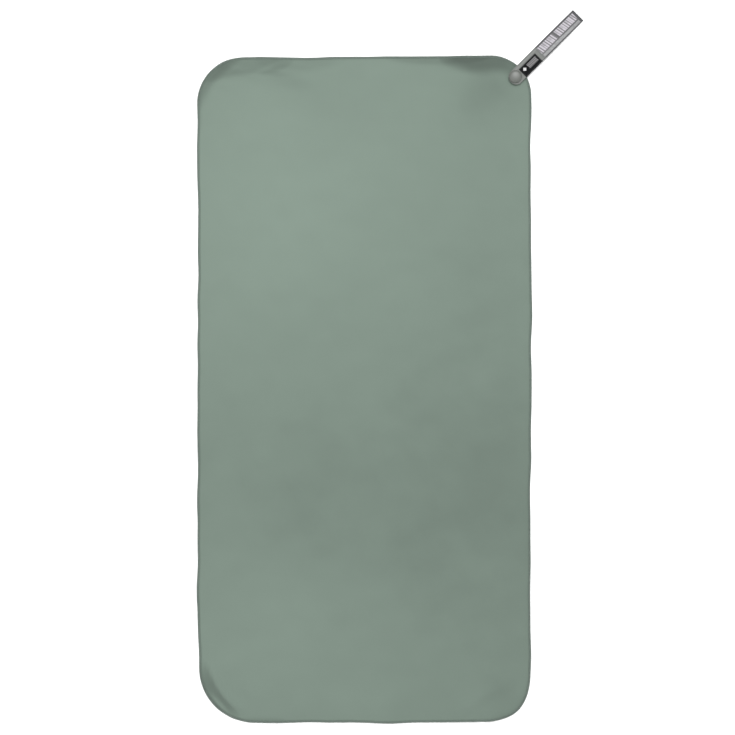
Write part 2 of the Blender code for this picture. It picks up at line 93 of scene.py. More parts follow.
class Body(str, Enum):
    """The CAD bodies that pieces ride on."""

    TOWEL = "towel_upper"
    LOWER = "towel_lower"
    LOOP_BACK = "loop_back"
    LOOP_FRONT = "loop_front"
    TAB = "snap_tab"


# ---------------------------------------------------------------- where the CAD says things are
@dataclass(frozen=True)
class Layout:
    """The towel's outline and the loop's own frame, read from the CAD.

    The loop's frame has its origin under the snap, u running out along the tape and v across it.
    """

    left: float
    right: float
    bottom: float
    top: float
    fold_y: float
    fold_z: float
    snap: np.ndarray
    along: np.ndarray
    across: np.ndarray
    cloth_top: float
    tab_z: float
    tape: float
    crease_u: float
    tip_u: float
    tip_z: float
    anchor_z: float
    cap_low: float
    cap_high: float
    cap_radius: float

    @classmethod
    def read(cls, model: dict[str, Any]) -> "Layout":
        """Reads the layout from the loaded frame.


        Returns:
            The towel's layout in metres.
        """
        joints = {joint["name"]: joint for joint in model["record"]["behaviour"]["joints"]}
        low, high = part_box("lower_edge_overlock")
        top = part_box("upper_edge_overlock")[1][1]
        cap_low, cap_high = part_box("snap_cap")
        tab_low, tab_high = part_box("tape_snap_tab")
        snap = np.array([(cap_low[0] + cap_high[0]) / 2, (cap_low[1] + cap_high[1]) / 2])
        crease = np.array(joints["loop_swing"]["pos_m"])
        tip = np.array(joints["loop_open"]["pos_m"])
        along = (tip - crease)[:2] / np.linalg.norm((tip - crease)[:2])
        thickness = tab_high[2] - tab_low[2]
        cap_radius = (cap_high[0] - cap_low[0]) / 2
        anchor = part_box("tape_anchor")
        return cls(
            left=low[0],
            right=high[0],
            bottom=low[1],
            top=top,
            fold_y=joints["half_fold"]["pos_m"][1],
            fold_z=joints["half_fold"]["pos_m"][2],
            snap=snap,
            along=along,
            across=np.array([-along[1], along[0]]),
            cloth_top=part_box("snap_stud")[0][2],
            tab_z=(tab_low[2] + tab_high[2]) / 2,
            tape=thickness,
            crease_u=float((crease[:2] - snap) @ along),
            tip_u=float((tip[:2] - snap) @ along),
            tip_z=tip[2],
            anchor_z=(anchor[0][2] + anchor[1][2]) / 2,
            cap_low=tab_high[2] + SNAP_GAP,
            cap_high=cap_high[2],
            cap_radius=cap_radius,
        )

    def place(self, u: Any, v: Any, z: Any) -> np.ndarray:
        """World points of places given in the loop's frame.

        Args:
            u: distance out along the tape.
            v: distance across the tape.
            z: height.

        Returns:
            An array of points, one row each.
        """
        u, v, z = np.broadcast_arrays(np.asarray(u, float), np.asarray(v, float), np.asarray(z, float))
        flat = self.snap + u[..., None] * self.along + v[..., None] * self.across
        return np.concatenate([flat, z[..., None]], axis=-1)


# ---------------------------------------------------------------- shader maths
class Value:
    """A socket that carries a number, with Python's operators on it."""

    def __init__(self, graph: "Graph", socket: bpy.types.NodeSocket) -> None:
        """Wraps a socket of a graph."""
        self.graph = graph
        self.socket = socket

    def __add__(self, other: Any) -> "Value":
        """self + other."""
        return self.graph.math("ADD", self, other)

    __radd__ = __add__

    def __sub__(self, other: Any) -> "Value":
        """self - other."""
        return self.graph.math("SUBTRACT", self, other)

    def __rsub__(self, other: Any) -> "Value":
        """other - self."""
        return self.graph.math("SUBTRACT", other, self)

    def __mul__(self, other: Any) -> "Value":
        """self * other."""
        return self.graph.math("MULTIPLY", self, other)

    __rmul__ = __mul__

    def __truediv__(self, other: Any) -> "Value":
        """self / other."""
        return self.graph.math("DIVIDE", self, other)

    def inside(self, low: float, high: float, soft: float) -> "Value":
        """A mask that is 1 where the value lies between two limits.

        Args:
            low: the lower limit.
            high: the upper limit.
            soft: the width over which the mask fades at each limit.

        Returns:
            The mask, from 0 to 1.
        """
        rise = self.graph.step(self, low - soft / 2, low + soft / 2)
        fall = self.graph.step(self, high - soft / 2, high + soft / 2)
        return rise - fall

    def wave(self, period: float) -> "Value":
        """A sine of the value with the given period."""
        return self.graph.math("SINE", self * (2 * math.pi / period))

    def repeat(self, period: float) -> "Value":
        """The value's remainder in each period, from 0 to 1."""
        return self.graph.math("FRACT", self / period)


class Graph:
    """A material's node tree and the calls that add nodes to it."""

    def __init__(self, name: str) -> None:
        """Starts a material with an empty Principled shader.

        Args:
            name: the material's name.
        """
        self.material = bpy.data.materials.new(name)
        self.material.use_nodes = True
        self.nodes = self.material.node_tree.nodes
        self.links = self.material.node_tree.links
        self.shader = self.nodes["Principled BSDF"]

    def node(
        self, kind: str, settings: dict[str, Any] | None = None, sockets: dict[Any, Any] | None = None
    ) -> bpy.types.Node:
        """Adds a node.

        Args:
            kind: the node's type.
            settings: its properties, set before its sockets; a ramp's stops go under "stops".
            sockets: values or links for its input sockets, by name or number.

        Returns:
            The new node.
        """
        made = self.nodes.new(kind)
        for key, value in (settings or {}).items():
            if key == "stops":
                self._stops(made.color_ramp, value)
            else:
                setattr(made, key, value)
        for key, value in (sockets or {}).items():
            self.feed(made.inputs[key], value)
        return made

    @staticmethod
    def _stops(ramp: bpy.types.ColorRamp, stops: Sequence[tuple[float, Colour]]) -> None:
        """Sets a colour ramp's stops.

        Args:
            ramp: the ramp.
            stops: the place of each stop, from 0 to 1, and its colour.
        """
        while len(ramp.elements) < len(stops):
            ramp.elements.new(0.5)
        for element, (place, colour) in zip(ramp.elements, stops):
            element.position = place
            element.color = (*colour, 1)

    def feed(self, socket: bpy.types.NodeSocket, value: Any) -> None:
        """Links a value to a socket, or sets the socket to it.

        Args:
            socket: the input socket.
            value: a Value or socket to link, or a number, vector or colour to set.
        """
        if isinstance(value, Value):
            self.links.new(value.socket, socket)
        elif isinstance(value, bpy.types.NodeSocket):
            self.links.new(value, socket)
        elif socket.type == "RGBA":
            socket.default_value = (*value, 1)
        else:
            socket.default_value = value

    def math(self, operation: str, *values: Any) -> Value:
        """A Math node on one to three numbers."""
        made = self.node("ShaderNodeMath", {"operation": operation}, dict(enumerate(values)))
        return Value(self, made.outputs[0])

    def step(self, value: Value, low: float, high: float) -> Value:
        """A smooth rise from 0 to 1.

        Args:
            value: the number that it follows.
            low: the value at which it starts to rise.
            high: the value at which it has reached 1.

        Returns:
            The rise.
        """
        made = self.node(
            "ShaderNodeMapRange",
            {"interpolation_type": "SMOOTHSTEP"},
            {"Value": value, "From Min": low, "From Max": high},
        )
        return Value(self, made.outputs["Result"])

    def attribute(self, name: str) -> Value:
        """A number stored on the mesh's points."""
        return Value(self, self.node("ShaderNodeAttribute", {"attribute_name": name}).outputs["Fac"])

    def place(self) -> bpy.types.NodeSocket:
        """The point's place on the piece, in metres."""
        return self.node("ShaderNodeTexCoord").outputs["Object"]

    def stretch(self, vector: bpy.types.NodeSocket, by: tuple[float, float, float]) -> bpy.types.NodeSocket:
        """A vector multiplied by a factor on each axis."""
        made = self.node("ShaderNodeVectorMath", {"operation": "MULTIPLY"}, {0: vector, 1: by})
        return made.outputs[0]

    def noise(self, size: float, detail: float = 2.0, vector: Any = None, rough: float = 0.5) -> Value:
        """Smooth noise from 0 to 1.

        Args:
            size: the size of its largest features, in metres.
            detail: how many finer layers it has.
            vector: the coordinates to use, or None for the place on the piece.
            rough: how strong the finer layers are.

        Returns:
            The noise.
        """
        made = self.node(
            "ShaderNodeTexNoise",
            None,
            {"Vector": vector or self.place(), "Scale": 1 / size, "Detail": detail, "Roughness": rough},
        )
        return Value(self, made.outputs["Fac"])

    def mix(self, share: Any, first: Any, second: Any, blend: str = "MIX") -> bpy.types.NodeSocket:
        """Mixes two colours.

        Args:
            share: how much of the second colour to take.
            first: the colour where share is 0.
            second: the colour where share is 1.
            blend: the Mix node's blend type.

        Returns:
            The colour socket.
        """
        settings = {"data_type": "RGBA", "blend_type": blend}
        return self.node("ShaderNodeMix", settings, {0: share, 6: first, 7: second}).outputs[2]

    def shaded(self, colour: Any, shade: Value, low: float, high: float) -> bpy.types.NodeSocket:
        """Darkens and lightens a colour.

        Args:
            colour: the colour.
            shade: a number from 0 to 1.
            low: what the colour is multiplied by where shade is 0.
            high: what it is multiplied by where shade is 1.

        Returns:
            The colour socket.
        """
        return self.mix(1.0, colour, self.mix(shade, (low, low, low), (high, high, high)), "MULTIPLY")

    def bump(self, height: Value, distance: float, strength: float) -> bpy.types.NodeSocket:
        """A normal bent by a height from 0 to 1.

        Args:
            height: the height.
            distance: what a height of 1 stands for, in metres.
            strength: the bump's strength.

        Returns:
            The normal socket.
        """
        sockets = {"Height": height, "Distance": distance, "Strength": strength}
        return self.node("ShaderNodeBump", None, sockets).outputs["Normal"]

    def finish(self, **sockets: Any) -> bpy.types.Material:
        """Sets the shader's sockets.

        Args:
            **sockets: the sockets' values, by name with underscores for spaces.

        Returns:
            The material.
        """
        for key, value in sockets.items():
            self.feed(self.shader.inputs[key.replace("_", " ")], value)
        return self.material


def scaled(colour: Colour, factor: float) -> Colour:
    """A colour made lighter or darker by a factor."""
    return tuple(min(1.0, factor * part) for part in colour)


# ---------------------------------------------------------------- finishes
@dataclass(frozen=True)
class Suede:
    """Microfibre suede with a short pile, coloured by a stored tone of painted light and shade with a faint
    random mottle on top.
    """

    base: Colour = (0.119, 0.1562, 0.130)
    lightest: float = 1.30
    darkest: float = 0.45
    nap_size: float = 0.45 * MM
    nap_height: float = 0.22 * MM
    clump_size: float = 1.6 * MM
    patch_size: float = 9 * MM
    mottle_size: float = 38 * MM

    def make(self) -> bpy.types.Material:
        """Builds the cloth's material.

        Returns:
            The material.
        """
        graph = Graph("microfibre_suede")
        # The stored tone is mostly painted light and shade: broad lighter and darker areas, and painted shade
        # along edges, corners and folds; the noise below is random mottling.
        nap = graph.attribute("nap")
        mottle = graph.noise(self.mottle_size, 3.0) - 0.5
        patch = graph.noise(self.patch_size) - 0.5
        fibre = graph.noise(self.nap_size, 3.0, rough=0.7)
        tone = nap * 0.5 + 0.5 + mottle * 0.045 + patch * 0.03 + (fibre - 0.5) * 0.12
        dark, light = scaled(self.base, self.darkest), scaled(self.base, self.lightest)
        ramp = graph.node(
            "ShaderNodeValToRGB",
            {"stops": ((0.0, dark), (0.5, self.base), (1.0, light))},
            {"Fac": tone},
        )
        height = fibre * 0.65 + graph.noise(self.clump_size) * 0.35
        return graph.finish(
            Base_Color=ramp.outputs["Color"],
            Roughness=0.86 + (fibre - 0.5) * 0.16,
            Normal=graph.bump(height, self.nap_height, 0.55),
            Sheen_Weight=0.22,
            Sheen_Roughness=0.55,
            Sheen_Tint=(0.80, 0.88, 0.83),
            Specular_IOR_Level=0.25,
        )


@dataclass(frozen=True)
class Thread:
    """Spun thread: plies that wind round it, with fuzz."""

    name: str
    colour: Colour
    fuzz_size: float = 0.35 * MM
    ply_depth: float = 0.08 * MM
    darkest: float = 0.62
    lightest: float = 1.32

    def make(self) -> bpy.types.Material:
        """Builds the thread's material.

        Returns:
            The material.
        """
        graph = Graph(self.name)
        ply = graph.attribute("turn").wave(1.0) * 0.5 + 0.5
        fuzz = graph.noise(self.fuzz_size, 3.0, rough=0.65)
        shade = ply * 0.35 + fuzz * 0.65
        dark, light = scaled(self.colour, self.darkest), scaled(self.colour, self.lightest)
        return graph.finish(
            Base_Color=graph.mix(shade, dark, light),
            Roughness=0.78 + (fuzz - 0.5) * 0.2,
            Normal=graph.bump(shade, self.ply_depth, 0.6),
            Sheen_Weight=0.2,
            Specular_IOR_Level=0.3,
        )


@dataclass(frozen=True)
class Webbing:
    """Grey ribbed webbing with pale bars and a pale stripe woven into its outer face, and painted shade just
    before the tip.

    Spans along the tape count from the snap's middle, and bands across it from the tape's middle line.
    """

    ground: Colour = (0.120, 0.117, 0.121)
    plain: Colour = (0.131, 0.137, 0.130)
    pale: Colour = (0.410, 0.390, 0.425)
    stripe: Colour = (0.255, 0.262, 0.262)
    border: Colour = (0.045, 0.046, 0.049)
    rib: float = 0.9 * MM
    width: float = 18 * MM
    warp: float = 0.55 * MM
    relief: float = 0.10 * MM
    slant: float = 0.22
    front: Span = (11 * MM, 115 * MM)
    head: Span = (39.6 * MM, 41.5 * MM)
    woven: Span = (41.8 * MM, 103.1 * MM)
    word_gap: Span = (68.5 * MM, 71.4 * MM)
    # The stretch just before the turn at the tip, painted dark as the shade of the bend.
    tip: Span = (103.1 * MM, 109 * MM)
    stripe_band: Span = (-7.5 * MM, -4.1 * MM)
    line_band: Span = (-4.1 * MM, -2.9 * MM)
    gap_band: Span = (-3 * MM, 9 * MM)
    bar_band: Span = (-2.4 * MM, 6.6 * MM)
    low_bar_band: Span = (-2.4 * MM, 1.6 * MM)
    light_band: Span = (5.8 * MM, 7 * MM)

    def make(self) -> bpy.types.Material:
        """Builds the webbing's material.

        Returns:
            The material.
        """
        graph = Graph("ribbed_webbing")
        along, across, face = (graph.attribute(name) for name in ("along", "across", "face"))
        slanted = along + across * self.slant
        woven = along.inside(*self.woven, 0.4 * MM) * face
        bars = self._bars(graph, slanted, across) * woven
        streak = graph.step(graph.noise(3.0 * MM), 0.40, 0.66)
        fade = 1 - graph.step(along, 70 * MM, 100 * MM) * 0.35
        stripe = across.inside(*self.stripe_band, 0.6 * MM) * woven * fade
        deepen = graph.step(along, 48 * MM, 90 * MM) * 0.5 + 0.18
        line = across.inside(*self.line_band, 0.5 * MM) * woven
        light_line = across.inside(*self.light_band, 0.5 * MM) * (face - woven)
        head = along.inside(*self.head, 0.6 * MM) * face
        front = along.inside(*self.front, 3 * MM) * face
        gap = slanted.inside(*self.word_gap, 0.6 * MM) * across.inside(*self.gap_band, 0.4 * MM)
        marks = (
            (bars * 0.9, self.pale),
            (stripe * (0.55 + 0.45 * streak), self.stripe),
            (line * deepen, self.border),
            (light_line * 0.25, self.stripe),
            (head * 0.25, self.border),
            ((1 - self._inner(graph, across, woven)) * front * (0.30 + 0.60 * woven), self.border),
            (gap * face * 0.55, self.border),
            # Painted shade of the bend, on the outer face just before the tip.
            (along.inside(*self.tip, 0.7 * MM) * face, self.border),
        )
        colour = graph.mix(woven, self.plain, self.ground)
        for share, mark in marks:
            colour = graph.mix(share, colour, mark)
        ribs = along.wave(self.rib) * 0.5 + 0.5
        warp = across.wave(self.warp) * 0.5 + 0.5
        fuzz = graph.noise(0.3 * MM, 3.0, rough=0.65)
        shade = ribs * 0.45 + warp * 0.2 + fuzz * 0.35
        return graph.finish(
            Base_Color=graph.shaded(colour, shade, 0.70, 1.22),
            Roughness=0.74 + (fuzz - 0.5) * 0.2,
            Normal=graph.bump(shade, self.relief, 0.6),
            Sheen_Weight=0.12,
            Specular_IOR_Level=0.35,
        )

    def _inner(self, graph: Graph, across: Value, woven: Value) -> Value:
        """The part between the dark borders, which are wider where the tape is patterned.

        Args:
            graph: the material's graph.
            across: the distance from the tape's middle line.
            woven: 1 where the tape is patterned.

        Returns:
            The part's mask.
        """
        half = self.width / 2
        margin = 1.2 * MM + woven * (1.0 * MM)
        low = graph.step(across, -half + 0.9 * MM, -half + 1.4 * MM)
        return low * (1 - graph.step(across + margin, half - 0.3 * MM, half + 0.3 * MM))

    def _bars(self, graph: Graph, slanted: Value, across: Value) -> Value:
        """Two runs of uneven slanted bars, with a plain gap between them.

        Args:
            graph: the material's graph.
            slanted: the distance along the tape, measured at a slant.
            across: the distance from its middle line.

        Returns:
            The bars' mask.
        """
        bar = slanted.repeat(3.1 * MM).inside(0.08, 0.60, 0.16)
        other = (slanted + 0.7 * MM).repeat(4.3 * MM).inside(0.30, 0.62, 0.14)
        short = (slanted - 0.4 * MM).repeat(9.7 * MM).inside(0.1, 0.5, 0.05)
        low = across.inside(*self.low_bar_band, 0.4 * MM)
        bar = graph.math("MAXIMUM", bar, other * 0.8) * (1 - short * (1 - low) * 0.35)
        tall = across.inside(*self.bar_band, 0.4 * MM)
        gap = slanted.inside(*self.word_gap, 0.4 * MM)
        return bar * tall * (1 - gap)


@dataclass(frozen=True)
class Damask:
    """Black satin-woven label with a pale lozenge and rows of grey dashes."""

    black: Colour = (0.0060, 0.0064, 0.0068)
    pale: Colour = (0.45, 0.45, 0.45)
    grey: Colour = (0.200, 0.196, 0.200)
    lozenge_at: Span = (5.1 * MM, 1.6 * MM)
    block: Span = (10.2 * MM, 24.5 * MM)
    rows: Span = (-2.1 * MM, 4.2 * MM)
    dash: float = 1.75 * MM

    def make(self) -> bpy.types.Material:
        """Builds the label's material.

        Returns:
            The material.
        """
        graph = Graph("damask_label")
        along, across = graph.attribute("along"), graph.attribute("across")
        away_along = graph.math("ABSOLUTE", along - self.lozenge_at[0])
        away_across = graph.math("ABSOLUTE", across - self.lozenge_at[1])
        lozenge = 1 - graph.step(away_along + away_across, 2.35 * MM, 2.65 * MM)
        rows = across.inside(*self.rows, 0.5 * MM)
        dashes = (along + across * 0.25).repeat(self.dash).inside(0.16, 0.78, 0.2)
        block = along.inside(*self.block, 0.5 * MM)
        weave = along.wave(0.5 * MM) * across.wave(0.42 * MM) * 0.5 + 0.5
        fuzz = graph.noise(0.25 * MM, 2.0)
        colour = graph.mix(rows * dashes * block, self.black, self.grey)
        colour = graph.mix(lozenge, colour, self.pale)
        shade = weave * 0.6 + fuzz * 0.4
        return graph.finish(
            Base_Color=graph.shaded(colour, shade, 0.72, 1.2),
            Roughness=0.74 + (fuzz - 0.5) * 0.2,
            Normal=graph.bump(shade, 0.05 * MM, 0.5),
            Specular_IOR_Level=0.04,
        )


@dataclass(frozen=True)
class Metal:
    """Plated or enamelled pressed sheet with fine handling marks."""

    name: str
    colour: Colour
    metallic: float
    roughness: float
    coat: float = 0.0
    dull: float = 0.82
    worn: float = 1.25

    def make(self) -> bpy.types.Material:
        """Builds the metal's material.

        Returns:
            The material.
        """
        graph = Graph(self.name)
        scuff = graph.noise(0.9 * MM, 4.0, rough=0.7)
        cloud = graph.noise(4.0 * MM, 2.0)
        place = graph.stretch(graph.place(), (1.0, 9.0, 1.0))
        scratch = graph.step(graph.noise(0.6 * MM, 1.0, place), 0.60, 0.72)
        worn, dull = scaled(self.colour, self.worn), scaled(self.colour, self.dull)
        colour = graph.mix(scratch * 0.35, graph.mix(cloud, dull, self.colour), worn)
        return graph.finish(
            Base_Color=colour,
            Metallic=self.metallic,
            Roughness=self.roughness + (scuff - 0.5) * 0.16 + scratch * 0.10,
            Normal=graph.bump(scuff, 0.02 * MM, 0.35),
            Coat_Weight=self.coat,
            Coat_Roughness=0.25,
        )


def made_by(finish: Suede | Thread | Webbing | Damask | Metal) -> Any:
    """A dataclass field that holds the material of a finish."""
    return field(default_factory=finish.make)


@dataclass(frozen=True)
class Palette:
    """Every finish on the towel, made once."""

    suede: bpy.types.Material = made_by(Suede())
    edge: bpy.types.Material = made_by(Thread("edge_thread", (0.105, 0.137, 0.117), 0.4 * MM))
    sewing: bpy.types.Material = made_by(Thread("sewing_thread", (0.240, 0.240, 0.240)))
    label_thread: bpy.types.Material = made_by(Thread("label_thread", (0.016, 0.016, 0.017)))
    webbing: bpy.types.Material = made_by(Webbing())
    damask: bpy.types.Material = made_by(Damask())
    cap: bpy.types.Material = made_by(Metal("cap_enamel", (0.083, 0.090, 0.081), 0.0, 0.45, 0.05))
    nickel: bpy.types.Material = made_by(Metal("nickel_plate", (0.60, 0.59, 0.56), 1.0, 0.30))


# ---------------------------------------------------------------- mesh building
@dataclass
class Shape:
    """Points, faces and point values that grow part by part into one mesh."""

    points: list[np.ndarray] = field(default_factory=list)
    faces: list[list[int]] = field(default_factory=list)
    values: dict[str, list[np.ndarray]] = field(default_factory=dict)
    count: int = 0
    sharp_angle: float = 0.9

    def add(self, points: np.ndarray, faces: Iterable[Sequence[int]], **values: np.ndarray) -> None:
        """Adds one part.

        Args:
            points: its points, whose last axis is x, y, z.
            faces: its faces, as point numbers within the part.
            **values: a number for each point, by attribute name.
        """
        self.points.append(np.asarray(points, float).reshape(-1, 3))
        self.faces.extend([[i + self.count for i in face] for face in faces])
        for name, numbers in values.items():
            self.values.setdefault(name, []).append(np.asarray(numbers, float).ravel())
        self.count += len(self.points[-1])

    def make(self, name: str, material: bpy.types.Material, crisp: bool = False) -> bpy.types.Object:
        """Turns the shape into a smooth object.

        Args:
            name: the object's name.
            material: its finish.
            crisp: whether its corners keep a hard edge.

        Returns:
            The object, in the scene.
        """
        mesh = bpy.data.meshes.new(name)
        mesh.from_pydata(np.concatenate(self.points).tolist(), [], self.faces)
        for key, parts in self.values.items():
            numbers = np.concatenate(parts).astype(np.float32)
            mesh.attributes.new(key, "FLOAT", "POINT").data.foreach_set("value", numbers)
        mesh.shade_smooth()
        if crisp:
            mesh.set_sharp_from_angle(angle=self.sharp_angle)
        mesh.materials.append(material)
        made = bpy.data.objects.new(name, mesh)
        bpy.context.scene.collection.objects.link(made)
        return made


def rings_to_faces(rings: int, sides: int, closed: bool = False, turned: bool = False) -> list[list[int]]:
    """Faces of a skin over rings of points, whose two ends are closed off.

    Args:
        rings: how many rings there are.
        sides: how many points each ring has.
        closed: whether the last ring joins the first.
        turned: whether the rings run anticlockwise as seen from the first one, not clockwise.

    Returns:
        The faces, which point outwards.
    """
    faces = []
    for i in range(rings if closed else rings - 1):
        a, b = i * sides, ((i + 1) % rings) * sides
        for j in range(sides):
            k = (j + 1) % sides
            faces.append([a + j, a + k, b + k, b + j])
    if not closed:
        faces.append(list(range(sides))[::-1])
        faces.append([(rings - 1) * sides + j for j in range(sides)])
    return [face[::-1] for face in faces] if turned else faces


def run_along(line: np.ndarray) -> np.ndarray:
    """The distance of each of a line's points from its start, along the line."""
    return np.concatenate([[0.0], np.cumsum(np.linalg.norm(np.diff(line, axis=0), axis=1))])


def tube(
    shape: Shape, line: np.ndarray, radius: float, sides: int = 6, closed: bool = False, turns: float = 0.0
) -> None:
    """Adds a round thread along a line.

    Args:
        shape: the shape that takes it.
        line: the points that it follows.
        radius: its radius.
        sides: how many sides it has.
        closed: whether it joins its own start.
        turns: how many times its plies wind round it in each metre.
    """
    if closed:
        tangent = np.roll(line, -1, 0) - np.roll(line, 1, 0)
    else:
        tangent = np.gradient(line, axis=0)
    tangent /= np.linalg.norm(tangent, axis=1)[:, None]
    side = np.cross(tangent[0], (0.0, 0.0, 1.0))
    if np.linalg.norm(side) < 0.1:
        side = np.cross(tangent[0], (1.0, 0.0, 0.0))
    sides_at = np.empty_like(line)
    for i, forward in enumerate(tangent):
        side = side - (side @ forward) * forward
        side /= math.sqrt(side @ side)
        sides_at[i] = side
    lifts = np.cross(tangent, sides_at)
    angles = np.arange(sides) * 2 * math.pi / sides
    cosines, sines = np.cos(angles)[None, :, None], np.sin(angles)[None, :, None]
    points = line[:, None] + radius * (cosines * sides_at[:, None] + sines * lifts[:, None])
    wound = run_along(line)[:, None] * turns + angles[None, :] / (2 * math.pi)
    shape.add(points, rings_to_faces(len(line), sides, closed), turn=wound)


def smooth(share: Any) -> Any:
    """A smooth rise from 0 to 1 as share goes from 0 to 1."""
    share = np.clip(share, 0.0, 1.0)
    return share * share * (3 - 2 * share)


# ---------------------------------------------------------------- how the cloth lies
@dataclass(frozen=True)
class Waves:
    """A soft random field: many faint waves of about one length that cross in all directions."""

    seed: int
    length: float
    spread: float = 0.35
    count: int = 28

    def at(self, x: np.ndarray, y: np.ndarray) -> np.ndarray:
        """The field at some places.

        Args:
            x: the places, across from the towel's centre.
            y: the places, up from it.

        Returns:
            A number for each place, mostly between -1 and 1.
        """
        chance = np.random.default_rng(self.seed)
        lengths = self.length * np.exp(chance.normal(0, self.spread, self.count))
        turns = chance.uniform(0, 2 * math.pi, self.count)
        phases = chance.uniform(0, 2 * math.pi, self.count)
        total = np.zeros_like(x)
        for length, turn, phase in zip(lengths, turns, phases):
            total += np.cos((x * math.cos(turn) + y * math.sin(turn)) * 2 * math.pi / length + phase)
        return total / math.sqrt(self.count)


@dataclass(frozen=True)
class Crease:
    """A soft ridge in the cloth from one place to another, given from the towel's centre."""

    start: Span
    end: Span
    width: float
    height: float
    bow: float = 0.0

    def at(self, x: np.ndarray, y: np.ndarray) -> np.ndarray:
        """The ridge at some places.

        Args:
            x: the places, across from the towel's centre.
            y: the places, up from it.

        Returns:
            Its height at each place.
        """
        start, end = np.array(self.start), np.array(self.end)
        run = end - start
        length = float(np.linalg.norm(run))
        run /= length
        along = (x - start[0]) * run[0] + (y - start[1]) * run[1]
        aside = (y - start[1]) * run[0] - (x - start[0]) * run[1]
        share = np.clip(along / length, 0, 1)
        aside = aside - self.bow * 4 * share * (1 - share)
        beyond = along - share * length
        fade = np.sin(math.pi * np.clip(share, 0.02, 0.98)) ** 0.6
        return self.height * fade * np.exp(-((aside / self.width) ** 2) - (beyond / self.width) ** 2)


@dataclass(frozen=True)
class ShadingPatch:
    """A patch of painted light where its tone is above 0 and painted shade where it is below, given from the
    towel's centre.
    """

    centre: Span
    reach: Span
    tone: float
    turn: float = 0.0

    def at(self, x: np.ndarray, y: np.ndarray) -> np.ndarray:
        """The patch at some places.

        Args:
            x: the places, across from the towel's centre.
            y: the places, up from it.

        Returns:
            Its tone at each place.
        """
        angle = math.radians(self.turn)
        dx, dy = x - self.centre[0], y - self.centre[1]
        along = dx * math.cos(angle) + dy * math.sin(angle)
        aside = dy * math.cos(angle) - dx * math.sin(angle)
        return self.tone * np.exp(-((along / self.reach[0]) ** 2) - (aside / self.reach[1]) ** 2)


@dataclass(frozen=True)
class EdgeShade:
    """Painted shade that hugs the edge, given from the towel's centre."""

    centre: Span
    reach: float
    deep: float
    tone: float
    soft: float = 0.5

    def at(self, x: np.ndarray, y: np.ndarray, depth: np.ndarray) -> np.ndarray:
        """The shade at some places.

        Args:
            x: the places, across from the towel's centre.
            y: the places, up from it.
            depth: how far inside the cloth's edge they are.

        Returns:
            Its tone at each place.
        """
        away = np.hypot(x - self.centre[0], y - self.centre[1]) / self.reach
        deep = self.deep * np.sqrt(np.clip(1.25 - away**2, 0.02, None))
        return self.tone * np.exp(-(away**4)) * (1 - smooth((depth / deep - 1 + self.soft / 2) / self.soft))


@dataclass(frozen=True)
class Sway:
    """A place where the cloth's edge lies a little in or out, by a shift in millimetres."""

    centre: Span
    reach: float
    shift: Span

    def at(self, x: np.ndarray, y: np.ndarray) -> np.ndarray:
        """How far some places are moved, in x and y."""
        share = np.exp(-((x - self.centre[0]) ** 2 + (y - self.centre[1]) ** 2) / self.reach**2)
        return share[..., None] * np.array(self.shift) * MM


